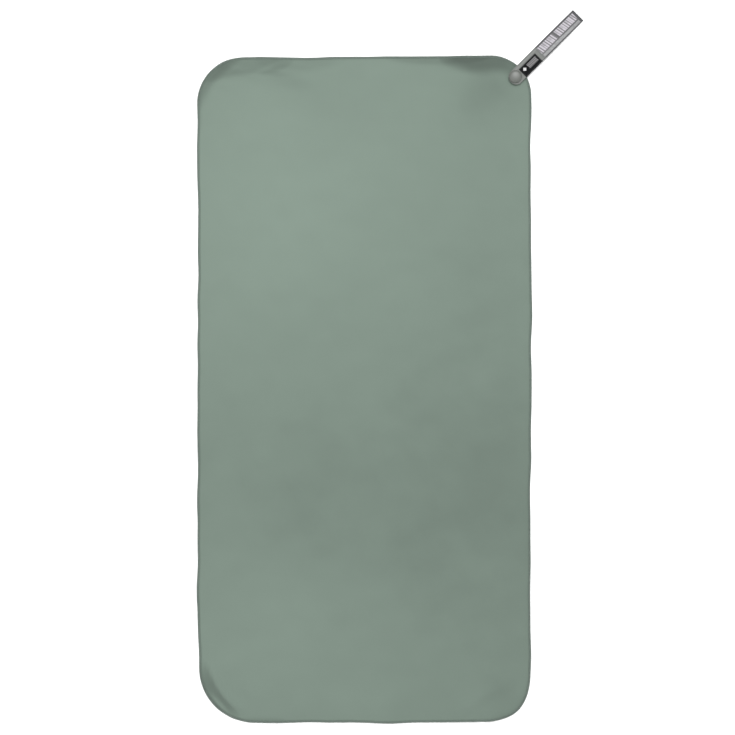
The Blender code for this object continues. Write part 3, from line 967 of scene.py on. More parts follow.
@dataclass
class Lie:
    """How the flat cloth lies: its outline, its heights, its edge's drift, and the painted light and shade in
    its colour.
    """

    layout: Layout
    radii: dict[str, float] = field(
        default_factory=lambda: {
            "top_left": 0.056,
            "top_right": 0.047,
            "bottom_left": 0.066,
            "bottom_right": 0.056,
        }
    )
    thickness: float = 0.7 * MM
    lift_reach: float = 16.5 * MM
    lift_fall: float = 28 * MM
    floor_gap: float = 0.15 * MM
    cushion: float = 0.25 * MM
    cushion_fade: float = 0.3 * MM
    near_reach: float = 22 * MM
    tight_reach: float = 7 * MM
    edge_calm: float = 0.45
    # Painted shade that darkens the cloth near its rim, and how far it reaches.
    rim_shade: float = 0.12
    rim_reach: float = 2.5 * MM
    corner_points: int = 61
    drift: float = 0.35 * MM
    swell: float = 2.5 * MM
    roll_share: float = 0.30
    ripple: float = 0.40 * MM
    pucker: float = 0.42 * MM
    creases: tuple[Crease, ...] = (
        Crease((-0.172, 0.392), (-0.118, 0.372), 0.0045, 0.0022),
        Crease((-0.150, 0.396), (-0.078, 0.376), 0.0055, 0.0019, 0.003),
        Crease((-0.112, 0.397), (-0.040, 0.382), 0.0060, 0.0015),
        Crease((-0.185, 0.372), (-0.150, 0.360), 0.0050, 0.0014),
        Crease((0.078, 0.397), (0.128, 0.386), 0.0060, 0.0016),
        Crease((0.112, 0.396), (0.160, 0.378), 0.0055, 0.0013),
        Crease((-0.186, -0.338), (-0.146, -0.386), 0.0042, 0.0030, -0.006),
        Crease((-0.176, -0.334), (-0.140, -0.374), 0.0060, -0.0012, -0.006),
        Crease((0.118, -0.388), (0.176, -0.352), 0.0070, 0.0014, 0.004),
        Crease((-0.196, 0.120), (-0.150, 0.150), 0.0100, 0.0010),
        Crease((0.196, -0.020), (0.120, 0.000), 0.0110, 0.0010),
        Crease((-0.195, -0.235), (-0.120, -0.200), 0.0120, 0.0011, 0.004),
    )
    # Painted light and shade: broad lighter and darker areas, and thin streaks along folds and the curled
    # corner edge.
    shading_patches: tuple[ShadingPatch, ...] = (
        ShadingPatch((-0.120, 0.215), (0.170, 0.190), 0.55, -12),
        ShadingPatch((0.060, 0.310), (0.150, 0.110), 0.07),
        ShadingPatch((0.050, -0.120), (0.230, 0.120), -0.16, -6),
        ShadingPatch((0.170, -0.090), (0.090, 0.230), -0.12),
        ShadingPatch((-0.130, -0.300), (0.130, 0.100), 0.36),
        ShadingPatch((-0.020, -0.375), (0.160, 0.060), 0.10),
        ShadingPatch((-0.100, 0.373), (0.030, 0.010), -0.20, -15),
        ShadingPatch((-0.078, 0.368), (0.024, 0.007), -0.16, 0),
        ShadingPatch((-0.118, 0.386), (0.020, 0.003), 0.22, 24),
        ShadingPatch((-0.111, 0.380), (0.030, 0.0030), -0.22, -2),
        ShadingPatch((-0.168, 0.376), (0.022, 0.0060), -0.22, 10),
        ShadingPatch((-0.1755, -0.3775), (0.017, 0.0022), 0.62, -47),
        ShadingPatch((0.164, -0.366), (0.024, 0.020), -0.14),
        ShadingPatch((0.158, 0.366), (0.030, 0.016), -0.22, -35),
        ShadingPatch((0.136, 0.345), (0.030, 0.026), -0.27),
    )
    # Painted shade along the edges and corners.
    shades: tuple[EdgeShade, ...] = (
        EdgeShade((-0.178, 0.370), 0.036, 0.011, -0.60, 0.9),
        EdgeShade((-0.140, 0.395), 0.050, 0.020, -0.42, 0.5),
        EdgeShade((-0.078, 0.400), 0.052, 0.015, -0.34, 0.7),
        EdgeShade((0.140, 0.392), 0.046, 0.017, -0.82, 0.9),
        EdgeShade((0.085, 0.400), 0.060, 0.009, -0.42, 0.9),
        EdgeShade((-0.176, -0.362), 0.038, 0.014, -0.70, 0.35),
        EdgeShade((-0.120, -0.398), 0.030, 0.006, -0.30, 0.8),
        EdgeShade((0.166, -0.368), 0.040, 0.006, -0.12, 0.9),
        EdgeShade((-0.196, 0.335), 0.030, 0.005, -0.25, 0.9),
    )
    sways: tuple[Sway, ...] = (
        Sway((0.200, 0.347), 0.030, (0.5, 0.0)),
        Sway((0.200, 0.262), 0.045, (-0.8, 0.0)),
        Sway((0.200, 0.100), 0.050, (1.0, 0.0)),
        Sway((0.200, -0.015), 0.040, (0.5, 0.0)),
        Sway((0.200, -0.130), 0.045, (-1.0, 0.0)),
        Sway((0.200, -0.240), 0.045, (-1.4, 0.0)),
        Sway((-0.200, 0.318), 0.030, (-0.8, 0.0)),
        Sway((-0.196, 0.362), 0.022, (0.5, 0.0)),
        Sway((-0.200, 0.165), 0.050, (0.9, 0.0)),
        Sway((-0.200, -0.235), 0.040, (-0.6, 0.0)),
        Sway((-0.180, -0.352), 0.050, (2.6, 0.1)),
        Sway((-0.148, 0.400), 0.035, (0.0, -1.6)),
        Sway((-0.078, 0.400), 0.040, (0.0, -1.9)),
        Sway((-0.010, 0.400), 0.045, (0.0, -0.6)),
        Sway((0.078, 0.400), 0.022, (0.0, -1.1)),
        Sway((0.110, 0.400), 0.030, (0.0, 0.7)),
        Sway((0.020, -0.400), 0.020, (0.0, -1.1)),
        Sway((-0.018, -0.400), 0.022, (0.0, 0.9)),
        Sway((0.182, -0.386), 0.020, (1.4, -1.0)),
        Sway((0.200, -0.350), 0.022, (-1.0, 0.0)),
        Sway((0.135, -0.400), 0.035, (0.0, 0.9)),
    )

    @property
    def centre(self) -> np.ndarray:
        """The middle of the towel's outline."""
        at = self.layout
        return np.array([(at.left + at.right) / 2, (at.bottom + at.top) / 2])

    def half(self, inset: float = 0.0) -> Span:
        """Half the towel's width and half its length, each less an inset."""
        at = self.layout
        return (at.right - at.left) / 2 - inset, (at.top - at.bottom) / 2 - inset

    def edge(self, y: float, inset: float) -> Span:
        """The outline's left and right at a distance y up from its centre.

        Args:
            y: the distance.
            inset: how far inside the real edge the outline is taken.

        Returns:
            The left and right x, from the centre.
        """
        half_x, half_y = self.half(inset)
        ends = "top" if y > 0 else "bottom"
        sides = []
        for side in ("left", "right"):
            radius = self.radii[f"{ends}_{side}"] - inset
            over = max(0.0, abs(y) - (half_y - radius))
            sides.append(half_x - radius + math.sqrt(max(0.0, radius**2 - over**2)))
        return -sides[0], sides[1]

    def outline(self, inset: float, pitch: float) -> np.ndarray:
        """Evenly spaced points round the outline, from the fold line's right end, anticlockwise.

        Args:
            inset: how far inside the real edge they lie.
            pitch: the distance between them, rounded so that they come out even.

        Returns:
            The points, from the centre, with each one's outward direction in the last two columns.
        """
        half_x, half_y = self.half(inset)
        corners = (
            ("top_right", 1, 1, 0),
            ("top_left", -1, 1, 90),
            ("bottom_left", -1, -1, 180),
            ("bottom_right", 1, -1, 270),
        )
        rows = []
        for name, right, up, turn in corners:
            radius = self.radii[name] - inset
            middle = np.array([right * (half_x - radius), up * (half_y - radius)])
            for degree in np.linspace(turn, turn + 90, self.corner_points):
                out = np.array([math.cos(math.radians(degree)), math.sin(math.radians(degree))])
                rows.append([*(middle + radius * out), *out])
        rows = np.array(rows + rows[:1])
        run = run_along(rows[:, :2])
        steps = np.linspace(0, run[-1], int(round(run[-1] / pitch)), endpoint=False)
        return np.stack([np.interp(steps, run, column) for column in rows.T], axis=1)

    def depth(self, x: np.ndarray, y: np.ndarray) -> np.ndarray:
        """How far inside the outline some places lie.

        Args:
            x: the places, across from the towel's centre.
            y: the places, up from it.

        Returns:
            Each place's depth.
        """
        half_x, half_y = self.half()
        left, top = x < 0, y > 0
        radius = np.where(
            top,
            np.where(left, self.radii["top_left"], self.radii["top_right"]),
            np.where(left, self.radii["bottom_left"], self.radii["bottom_right"]),
        )
        over_x, over_y = np.abs(x) - (half_x - radius), np.abs(y) - (half_y - radius)
        outside = np.hypot(np.maximum(over_x, 0), np.maximum(over_y, 0))
        return radius - outside - np.minimum(np.maximum(over_x, over_y), 0)

    def calm(self, x: np.ndarray, y: np.ndarray) -> np.ndarray:
        """How firmly the snap holds the cloth at some places.

        Args:
            x: the places, across from the towel's centre.
            y: the places, up from it.

        Returns:
            1 at the snap, falling to 0 away from it.
        """
        snap = self.layout.snap - self.centre
        away = np.hypot(x - snap[0], y - snap[1])
        return 1 - smooth((away - self.lift_reach) / self.lift_fall)

    def settle(self, x: np.ndarray, y: np.ndarray) -> np.ndarray:
        """World points of the cloth's middle surface.

        Args:
            x: flat places across, from the towel's centre.
            y: flat places up, from the towel's centre.

        Returns:
            The points, one row each.
        """
        calm = self.calm(x, y)
        free = 1 - calm
        depth = np.maximum(self.depth(x, y), 0)
        near_edge = np.exp(-depth / self.near_reach)
        tight_edge = np.exp(-depth / self.tight_reach)
        height = self.swell * (0.5 + 0.5 * np.tanh(Waves(11, 0.24).at(x, y)))
        height = height + self.swell * self.roll_share * (Waves(5, 0.11).at(x, y) * 0.5 + 0.5)
        height = height + self.ripple * Waves(23, 0.045, 0.25).at(x, y)
        height = height + self.pucker * tight_edge * Waves(31, 0.020, 0.2).at(x, y)
        height = height * (1 - self.edge_calm * near_edge)
        for crease in self.creases:
            height = height + crease.at(x, y)
        height = np.maximum(height, 0)
        rest = self.thickness / 2 + self.floor_gap
        base = height + self.cushion * np.exp(-height / self.cushion_fade)
        lift = self.layout.cloth_top - SNAP_GAP - self.thickness / 2
        z = rest + base * free + (lift - rest) * calm
        drift_x = self.drift * near_edge * Waves(41, 0.07, 0.3).at(x, y)
        drift_y = self.drift * near_edge * Waves(43, 0.07, 0.3).at(x, y)
        drift = np.stack([drift_x, drift_y], axis=-1) + sum(sway.at(x, y) for sway in self.sways)
        flat = self.centre + np.stack([x, y], axis=-1) + drift * free[..., None]
        return np.concatenate([flat, z[..., None]], axis=-1)

    def nap(self, x: np.ndarray, y: np.ndarray) -> np.ndarray:
        """The painted light and shade at some places, over a faint random tone.

        Args:
            x: the places, across from the towel's centre.
            y: the places, up from it.

        Returns:
            Each place's tone, where -1 is darkest and 1 lightest.
        """
        tone = 0.035 * Waves(61, 0.16, 0.4).at(x, y) + 0.02 * Waves(67, 0.05, 0.4).at(x, y)
        depth = np.maximum(self.depth(x, y), 0)
        # Painted light and shade in broad areas and thin streaks.
        for patch in self.shading_patches:
            tone = tone + patch.at(x, y)
        # Painted shade along the edges and corners.
        for shade in self.shades:
            tone = tone + shade.at(x, y, depth)
        # The rim is painted a little darker as shade.
        return np.clip(tone - self.rim_shade * np.exp(-depth / self.rim_reach), -1, 1)


# ---------------------------------------------------------------- the towel's cloth
@dataclass
class Towel:
    """The cloth and the thread round its edge."""

    layout: Layout
    lie: Lie
    palette: Palette
    cell: float = 3.2 * MM
    inset: float = 0.9 * MM
    seam_width: float = 2.7 * MM
    wrap_pitch: float = 1.55 * MM
    wrap_points: int = 8
    wrap_turns: float = 700
    rim_turns: float = 500
    corner_rows: int = 24
    thread_sides: int = 5
    thread_radius: float = 0.34 * MM
    fold_reach: float = 4.0 * MM

    def rows(self) -> np.ndarray:
        """Heights of the mesh's rows, closer together round the corners.

        Returns:
            The heights, from the towel's centre.
        """
        half = self.lie.half(self.inset)[1]
        corner = max(self.lie.radii.values())
        arc = half - corner * (1 - np.sin(np.linspace(0, math.pi / 2, self.corner_rows)))
        straight = np.linspace(-arc[0], arc[0], int(2 * arc[0] / self.cell))
        return np.concatenate([-arc[:0:-1], straight, arc[1:]])

    def cloth(self) -> bpy.types.Object:
        """Builds the cloth as one closed thin sheet.

        Returns:
            The cloth.
        """
        rows = self.rows()
        columns = int((self.layout.right - self.layout.left) / self.cell)
        shares = np.linspace(0, 1, columns + 1)
        edges = np.array([self.lie.edge(y, self.inset) for y in rows])
        x = edges[:, :1] + (edges[:, 1:] - edges[:, :1]) * shares
        y = np.repeat(rows[:, None], columns + 1, axis=1)
        middle = self.lie.settle(x, y)
        normal = np.cross(np.gradient(middle, axis=1), np.gradient(middle, axis=0))
        normal /= np.linalg.norm(normal, axis=-1)[..., None]
        # A stored tone of painted light and shade for the cloth's colour.
        nap = self.lie.nap(x, y)
        half = self.lie.thickness / 2
        shape = Shape()
        upper, lower = middle + half * normal, middle - half * normal
        shape.add(np.stack([upper, lower]), self._faces(*x.shape), nap=np.stack([nap, nap]))
        piece = shape.make("towel_cloth", self.palette.suede, crisp=True)
        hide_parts("upper_cloth", "lower_cloth")
        self._bend(piece)
        return piece

    @staticmethod
    def _faces(rows: int, columns: int) -> list[list[int]]:
        """Faces of a closed sheet: its upper side, its lower side and its rim.

        Args:
            rows: how many rows of points each side has.
            columns: how many points each row has.

        Returns:
            The faces.
        """
        under = rows * columns
        faces = []
        for i in range(rows - 1):
            for j in range(columns - 1):
                a = i * columns + j
                faces.append([a, a + 1, a + columns + 1, a + columns])
                faces.append([under + a, under + a + columns, under + a + columns + 1, under + a + 1])
        rim = list(range(columns)) + [i * columns + columns - 1 for i in range(1, rows)]
        rim += [(rows - 1) * columns + j for j in range(columns - 2, -1, -1)]
        rim += [i * columns for i in range(rows - 2, 0, -1)]
        for a, b in zip(rim, rim[1:] + rim[:1]):
            faces.append([b, a, under + a, under + b])
        return faces

    def overlock(self) -> bpy.types.Object:
        """Builds the overlocked edge: wraps round the cut edge, a rim thread and a needle thread.

        Returns:
            The edge's threads, as one piece.
        """
        shape = Shape()
        pitch = self.wrap_pitch / self.wrap_points
        flat = self.lie.outline(self.seam_width / 2 - 0.2 * MM, pitch)
        flat = flat[: len(flat) // self.wrap_points * self.wrap_points]
        turn = np.arange(len(flat)) * 2 * math.pi / self.wrap_points
        reach = self.seam_width / 2
        lift = self.lie.thickness / 2 + self.thread_radius * 0.75
        aside = reach * np.cos(turn)
        x, y = flat[:, 0] + flat[:, 2] * aside, flat[:, 1] + flat[:, 3] * aside
        line = self.lie.settle(x, y)
        line[:, 2] += lift * np.sin(turn)
        tube(shape, line, self.thread_radius, self.thread_sides, closed=True, turns=self.wrap_turns)
        self._rim(shape, 0.35 * MM, 0.42 * MM, 0.0, 0.55)
        self._rim(shape, self.seam_width - 0.25 * MM, 0.24 * MM, lift * 0.9, 0.25)
        piece = shape.make("edge_overlock", self.palette.edge)
        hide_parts("upper_edge_overlock", "lower_edge_overlock")
        self._bend(piece)
        return piece

    def _rim(self, shape: Shape, inset: float, radius: float, lift: float, sway: float) -> None:
        """Adds a thread that runs round the edge, swaying from wrap to wrap.

        Args:
            shape: the shape that takes it.
            inset: how far inside the real edge it runs.
            radius: its radius.
            lift: its height over the cloth's middle.
            sway: how far it sways, as a share of its radius.
        """
        flat = self.lie.outline(inset, self.wrap_pitch / 2)
        flat = flat[: len(flat) // 2 * 2]
        aside = radius * sway * np.where(np.arange(len(flat)) % 2, 1, -1)
        line = self.lie.settle(flat[:, 0] + flat[:, 2] * aside, flat[:, 1] + flat[:, 3] * aside)
        line[:, 2] += lift
        tube(shape, line, radius, self.thread_sides, closed=True, turns=self.rim_turns)

    def _bend(self, piece: bpy.types.Object) -> None:
        """Bakes a piece's placement into its points."""
        y, z, reach = self.layout.fold_y, self.layout.fold_z, self.fold_reach
        y + reach
        y - reach
        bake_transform(piece)

    def build(self) -> None:
        edge = self.overlock()
        cloth = self.cloth()
        width, length = self.layout.right - self.layout.left, self.layout.top - self.layout.bottom
        lost = sum((1 - math.pi / 4) * radius**2 for radius in self.lie.radii.values())
        width * length - lost
        report(cloth)
        report(edge)


# ---------------------------------------------------------------- the hang loop
@dataclass
class TapeLine:
    """The tape's middle line, from the snap out to the tip and back to the sewn end."""

    layout: Layout
    bow: float = 3.5 * MM
    settle: float = 22 * MM
    anchor_end: float = 12.7 * MM
    anchor_inset: float = 11.8 * MM
    step: float = 0.225 * MM
    reach: float = 0.9 * MM
    leg_gap: float = 0.15 * MM
    turn_points: int = 13

    def front(self, u: np.ndarray) -> np.ndarray:
        """Height of the front leg, flat on the snap and arched beyond it.

        Args:
            u: distances out along the tape.

        Returns:
            The height at each.
        """
        at = self.layout
        low = at.tip_z + self.leg_gap + at.tape / 2
        share = np.clip((u - at.crease_u) / (at.tip_u - at.crease_u), 0, 1)
        return at.tab_z + (low - at.tab_z) * share + 4 * self.bow * share * (1 - share)

    def back(self, u: np.ndarray) -> np.ndarray:
        """Height of the back leg, which comes down from under the cloth.

        Args:
            u: distances out along the tape.

        Returns:
            The height at each.
        """
        at = self.layout
        low = at.tape / 2
        return at.anchor_z + (low - at.anchor_z) * smooth((u - self.anchor_end) / self.settle)

    def turn(self) -> np.ndarray:
        """The tight turn at the tip, from front to back.

        Returns:
            Its (u, z) points.
        """
        at = self.layout
        high = float(self.front(np.array([at.tip_u]))[0])
        low = at.tape / 2
        radius, middle = (high - low) / 2, (high + low) / 2
        angles = np.linspace(math.pi / 2, -math.pi / 2, self.turn_points)
        u = at.tip_u + (radius + self.reach) * np.cos(angles)
        return np.stack([u, middle + radius * np.sin(angles)], axis=1)

    def stretch(self, start: float, end: float, heights: Any) -> np.ndarray:
        """An evenly stepped stretch of one leg.

        Args:
            start: where it starts, out along the tape.
            end: where it ends.
            heights: the method that gives the leg's height.

        Returns:
            Its (u, z) points.
        """
        count = max(2, int(abs(end - start) / self.step))
        u = np.linspace(start, end, count + 1)
        return np.stack([u, heights(u)], axis=1)


@dataclass
class HangLoop:
    """The webbing loop, its label and the stitches on them."""

    layout: Layout
    palette: Palette
    width: float = 18 * MM
    columns: int = 14
    rib: float = 0.9 * MM
    rib_height: float = 0.05 * MM
    aside: float = -0.75 * MM
    nose: float = 8.3 * MM
    middle_u: float = 54 * MM
    label_start: float = 0.05 * MM
    label_length: float = 26.9 * MM
    label_width: float = 13.0 * MM
    label_thickness: float = 0.35 * MM
    label_gap: float = 0.06 * MM
    label_rows: int = 53
    label_columns: int = 24
    hem_rise: float = 0.10 * MM
    hem_width: float = 1.6
    hem_span: float = 26
    edge_drop: float = 0.16 * MM
    home_start: float = 157 * MM
    crease_reach: float = 1.0 * MM
    turn_gap: float = 0.03 * MM
    sewn_bend: Span = (-0.6 * MM, 9 * MM)
    stitch: float = 1.9 * MM
    stitch_inset: float = 0.8 * MM
    stitch_rise: float = 0.24 * MM
    stitch_points: int = 6
    stitch_radius: float = 0.17 * MM
    tack_length: float = 12 * MM
    tack_end: float = 0.3 * MM
    tack_reach: float = 0.45 * MM
    tack_radius: float = 0.16 * MM
    tack_wraps: int = 26
    tack_points: int = 8

    def __post_init__(self) -> None:
        """Works out the tape's line."""
        self.line = TapeLine(self.layout)

    def ribbon(
        self, name: str, path: np.ndarray, start: float, marked: bool = True, square: bool = False
    ) -> bpy.types.Object:
        """Builds a stretch of ribbed tape.

        Args:
            name: its name.
            path: the (u, z) points of its middle line, with its outer face on their left.
            start: how far along the tape its first point is.
            marked: whether its outer face shows the woven marks.
            square: whether its end is cut square, not round about the snap.

        Returns:
            The stretch of tape.
        """
        slope = np.gradient(path, axis=0)
        slope /= np.linalg.norm(slope, axis=1)[:, None]
        normal = np.stack([-slope[:, 1], slope[:, 0]], axis=1)
        run = start + run_along(path)
        widths = np.full(len(path), self.width)
        if not square:
            before = path[:, 0] < 0
            widths[before] *= np.sqrt(np.maximum(1 - (path[before, 0] / self.nose) ** 2, 1e-3))
        across = np.linspace(-0.5, 0.5, self.columns + 1)
        thin = 1 - 0.22 * np.abs(2 * across) ** 8
        rib = self.rib_height * np.sin(2 * math.pi * run / self.rib)
        v = widths[:, None] * across[None, :]
        thick = self.layout.tape / 2 * thin[None, :] + rib[:, None] * 0.5
        sides = []
        for sign in (1, -1):
            u = path[:, :1] + sign * normal[:, :1] * thick
            z = path[:, 1:] + sign * normal[:, 1:] * thick
            sides.append(self.layout.place(u, v + self.aside, z))
        ring = np.concatenate([sides[0], sides[1][:, ::-1]], axis=1)
        count = self.columns + 1
        along = np.repeat(run[:, None], 2 * count, axis=1)
        aside = np.concatenate([v, v[:, ::-1]], axis=1)
        face = np.zeros_like(along)
        face[:, :count] = float(marked)
        faces = rings_to_faces(len(path), 2 * count, turned=True)
        shape = Shape()
        shape.add(ring, faces, along=along, across=aside, face=face)
        return shape.make(name, self.palette.webbing, crisp=True)

    def _middle(self, u: float, z: float) -> tuple[float, ...]:
        """The world point on the CAD tape's middle line at a place along it and a height."""
        return tuple(self.layout.place(u, 0, z))

    def tapes(self) -> None:
        """Builds the tape in three stretches that meet in the middle of each leg."""
        at, line, reach = self.layout, self.line, self.crease_reach
        front = line.stretch(-self.nose + 0.02 * MM, self.middle_u, line.front)
        piece = self.ribbon("tape_snap_end", front, -self.nose)
        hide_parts("tape_snap_tab", "tape_front_leg")
        cross = [self._middle(u, at.tab_z) for u in (at.crease_u - reach, at.crease_u + reach)]
        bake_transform(piece)
        self._done(piece, "webbing")

        onward = line.stretch(self.middle_u, at.tip_u, line.front)
        backward = line.stretch(at.tip_u, self.middle_u, line.back)
        path = np.concatenate([onward[:-1], line.turn(), backward[1:]])
        piece = self.ribbon("tape_tip", path, self.middle_u)
        low = at.tape + self.turn_gap
        cross = [self._middle(at.tip_u, z) for z in (low, at.tip_z * 2 - low)]
        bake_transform(piece)
        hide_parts("tape_back_leg")
        self._done(piece, "webbing")

        home = line.stretch(self.middle_u, -line.anchor_inset, line.back)
        piece = self.ribbon("tape_sewn_end", home, self.home_start, marked=False, square=True)
        cross = [self._middle(line.anchor_end + bend, at.anchor_z) for bend in self.sewn_bend]
        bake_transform(piece)
        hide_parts("tape_anchor")
        self._done(piece, "webbing")

    @staticmethod
    def _done(piece: bpy.types.Object, slot: str) -> None:
        """Reports a piece."""
        report(piece)

    def over(self, u: Any, v: Any, above: float) -> np.ndarray:
        """World points over the front leg's outer face.

        Args:
            u: distances out along the tape.
            v: distances across it.
            above: the height over the tape's middle line, square to it.

        Returns:
            The points.
        """
        u = np.asarray(u, float)
        small = 0.01 * MM
        slope = np.arctan((self.line.front(u + small) - self.line.front(u - small)) / (2 * small))
        z = self.line.front(u) + above * np.cos(slope)
        return self.layout.place(u - above * np.sin(slope), v + self.aside, z)

    def label(self) -> None:
        """Builds the woven label, flush with the tape's lower side."""
        start = self.layout.crease_u + self.label_start
        centre = (self.label_width - self.width) / 2
        rows, columns = self.label_rows, self.label_columns
        shares = np.linspace(0, 1, rows)
        u = start + self.label_length * shares
        across = np.linspace(-0.5, 0.5, columns + 1) * self.label_width
        low = self.layout.tape / 2 + self.label_gap
        ends = [np.exp(-((share * self.hem_span / self.hem_width) ** 4)) for share in (shares, 1 - shares)]
        hem = self.hem_rise * (ends[0] + ends[1])
        drop = self.edge_drop * np.abs(across / self.label_width * 2) ** 10
        rise = self.label_thickness + hem[:, None] - drop[None, :]
        uu = np.repeat(u[:, None], columns + 1, axis=1)
        vv = centre + np.repeat(across[None, :], rows, axis=0)
        top = self.over(uu, vv, low + rise)
        under = self.over(uu, vv, low)
        ring = np.concatenate([top, under[:, ::-1]], axis=1)
        along = np.repeat((u - start)[:, None], ring.shape[1], axis=1)
        aside = np.concatenate([vv, vv[:, ::-1]], axis=1) - centre
        shape = Shape()
        faces = rings_to_faces(rows, ring.shape[1], turned=True)
        shape.add(ring, faces, along=along, across=aside)
        piece = shape.make("label_face", self.palette.damask, crisp=True)
        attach(piece, Body.LOOP_FRONT.value)
        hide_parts("woven_label")
        self._done(piece, "label_weave")

    def label_stitches(self) -> None:
        """Builds the running stitches round the label's border."""
        start = self.layout.crease_u + self.label_start
        centre = (self.label_width - self.width) / 2
        inset = self.stitch_inset
        low_u, high_u = start + inset, start + self.label_length - inset
        low_v, high_v = centre - self.label_width / 2 + inset, centre + self.label_width / 2 - inset
        corners = [(low_u, low_v), (high_u, low_v), (high_u, high_v), (low_u, high_v), (low_u, low_v)]
        hump = np.sin(np.linspace(0, math.pi, self.stitch_points)) ** 0.5
        above = self.layout.tape / 2 + self.label_thickness + self.stitch_rise * hump
        shape = Shape()
        for (u0, v0), (u1, v1) in zip(corners, corners[1:]):
            count = max(1, round(math.hypot(u1 - u0, v1 - v0) / self.stitch))
            for i in range(count):
                shares = np.linspace((i + 0.12) / count, (i + 0.88) / count, self.stitch_points)
                points = self.over(u0 + (u1 - u0) * shares, v0 + (v1 - v0) * shares, above)
                tube(shape, points, self.stitch_radius, turns=900)
        piece = shape.make("label_stitches", self.palette.label_thread)
        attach(piece, Body.LOOP_FRONT.value)
        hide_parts("lower_label_stitch", "upper_label_stitch")
        self._done(piece, "sewing_thread")

    def bar_tack(self) -> None:
        """Builds the dense bar of stitches that holds the tape's sewn end under the cloth."""
        low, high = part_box("tape_bar_tack")
        middle = np.array([(low[0] + high[0]) / 2, (low[1] + high[1]) / 2])
        u = float((middle - self.layout.snap) @ self.layout.along)
        turn = np.linspace(0, 2 * math.pi * self.tack_wraps, self.tack_wraps * self.tack_points)
        end = self.tack_length / 2 - self.tack_end
        v = np.linspace(-end, end, len(turn))
        z = (low[2] + high[2]) / 2 + ((high[2] - low[2]) / 2 - self.tack_radius) * np.sin(turn)
        shape = Shape()
        line = self.layout.place(u + self.tack_reach * np.cos(turn), v, z)
        tube(shape, line, self.tack_radius, 5, turns=700)
        piece = shape.make("tape_bar_tack_threads", self.palette.sewing)
        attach(piece, Body.TOWEL.value)
        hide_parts("tape_bar_tack")
        self._done(piece, "sewing_thread")

    def build(self) -> None:
        """Builds the whole loop."""
        self.tapes()
        self.label()
        self.label_stitches()
        self.bar_tack()


# ---------------------------------------------------------------- the snap
@dataclass
class Snap:
    """The ring-spring snap: a new domed cap, and the CAD's own stud, socket, spring and post."""

    layout: Layout
    palette: Palette
    segments: int = 96
    rim: float = 0.9 * MM
    dome_inset: float = 0.25 * MM
    dome_fullness: float = 0.94
    tube_share: float = 0.25

    def lathe(self, name: str, profile: Sequence[Span], material: bpy.types.Material) -> bpy.types.Object:
        """Builds a turned piece on the snap's axis.

        Args:
            name: its name.
            profile: its (radius, height) points, from the top of its axis down its outer side.
            material: its finish.

        Returns:
            The piece.
        """
        angles = np.arange(self.segments) * 2 * math.pi / self.segments
        circle = np.stack([np.cos(angles), np.sin(angles)], axis=1)
        rings = [
            np.column_stack([self.layout.snap + radius * circle, np.full(self.segments, height)])
            for radius, height in profile
        ]
        shape = Shape()
        shape.add(np.concatenate(rings), rings_to_faces(len(profile), self.segments, turned=True))
        return shape.make(name, material)

    def cap(self) -> None:
        """Builds the domed cap with its rolled rim."""
        at = self.layout
        radius, low, rim = at.cap_radius, at.cap_low, self.rim
        crown, roll = at.cap_high - low - rim, rim / 2
        profile = []
        for angle in np.radians(np.linspace(2, 80, 22)):
            out = (radius - self.dome_inset) * math.sin(angle) ** self.dome_fullness
            profile.append((out, low + rim + crown * math.cos(angle)))
        for angle in np.radians(np.linspace(60, -90, 12)):
            profile.append((radius - roll + roll * math.cos(angle), low + roll + roll * math.sin(angle)))
        profile.append((radius * self.tube_share, low))
        piece = self.lathe("snap_cap_dome", profile, self.palette.cap)
        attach(piece, Body.TAB.value)
        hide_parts("snap_cap")
        report(piece)

    def dress(self) -> None:
        """Gives the CAD's own metal pieces their plating."""
        for name in ("snap_stud", "snap_socket", "snap_spring", "snap_post"):
            node = frame["nodes"][name]
            for slot in node.material_slots:
                slot.material = self.palette.nickel
            report(node)

    def build(self) -> None:
        """Builds the whole snap."""
        self.cap()
        self.dress()


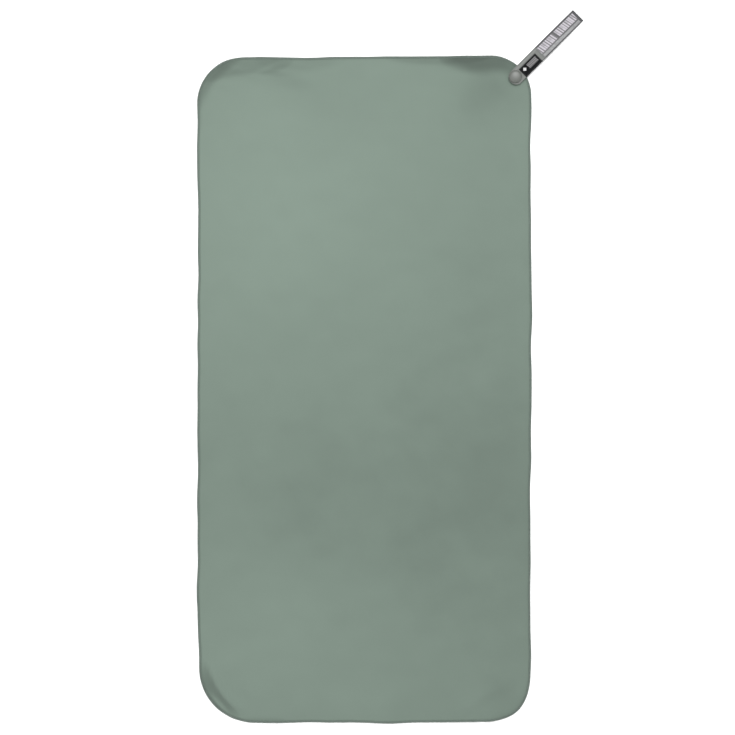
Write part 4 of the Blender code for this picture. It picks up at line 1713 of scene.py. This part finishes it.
# ---------------------------------------------------------------- floor, light and camera
@dataclass
class Studio:
    """A pale floor, soft light and the camera overhead."""

    layout: Layout
    camera_height: float = 2.2
    view_width: float = 0.8829
    view_centre: Span = (0.0038, 0.0262)
    floor_reach: float = 6
    floor_drop: float = 0.2 * MM
    world_strength: float = 0.85

    def floor(self) -> None:
        """Builds the pale floor."""
        mesh = bpy.data.meshes.new("floor")
        far = self.floor_reach
        mesh.from_pydata([(-far, -far, 0), (far, -far, 0), (far, far, 0), (-far, far, 0)], [], [(0, 1, 2, 3)])
        graph = Graph("floor_paper")
        grain = graph.noise(0.02, 3.0) - 0.5
        mesh.materials.append(graph.finish(Base_Color=(0.93, 0.93, 0.93), Roughness=0.9 + grain * 0.05))
        plane = bpy.data.objects.new("floor", mesh)
        bpy.context.scene.collection.objects.link(plane)
        plane.location.z = -self.floor_drop

    @staticmethod
    def lamp(name: str, place: Sequence[float], size: float, power: float) -> None:
        """Adds a white square area light that faces the towel.

        Args:
            name: its name.
            place: where it stands.
            size: its side.
            power: its power in watts.
        """
        data = bpy.data.lights.new(name, "AREA")
        data.size = size
        data.energy = power
        made = bpy.data.objects.new(name, data)
        made.location = place
        made.rotation_euler = (-Vector(place)).to_track_quat("-Z", "Y").to_euler()
        bpy.context.scene.collection.objects.link(made)

    def camera(self) -> None:
        """Places the camera straight above."""
        at = self.layout
        data = bpy.data.cameras.new("camera")
        data.sensor_width = 36
        data.lens = data.sensor_width * self.camera_height / self.view_width
        data.clip_end = 50
        made = bpy.data.objects.new("camera", data)
        x = (at.left + at.right) / 2 + self.view_centre[0]
        y = (at.bottom + at.top) / 2 + self.view_centre[1]
        made.location = (x, y, self.camera_height)
        bpy.context.scene.collection.objects.link(made)
        bpy.context.scene.camera = made

    def build(self) -> None:
        """Builds the floor, lights, world and camera."""
        self.floor()
        self.lamp("key", (0.35, 1.15, 2.1), 0.9, 46)
        self.lamp("fill", (-1.5, -0.6, 2.2), 2.4, 26)
        world = bpy.data.worlds.new("studio")
        world.use_nodes = True
        background = world.node_tree.nodes["Background"]
        background.inputs["Color"].default_value = (1, 1, 1, 1)
        background.inputs["Strength"].default_value = self.world_strength
        bpy.context.scene.world = world
        bpy.context.scene.view_settings.view_transform = "Standard"
        self.camera()


def report(piece: bpy.types.Object) -> None:
    """Logs a finished piece with its number of points."""
    log.info("%s: %d points", piece.name, len(piece.data.vertices))


def main() -> None:
    """Builds the towel's looks, piece by piece."""
    logging.basicConfig(level=logging.INFO, format="%(name)s %(message)s")
    layout = Layout.read(frame)
    palette = Palette()
    Towel(layout, Lie(layout), palette).build()
    HangLoop(layout, palette).build()
    Snap(layout, palette).build()
    Studio(layout).build()


if __name__ == "__main__":
    main()
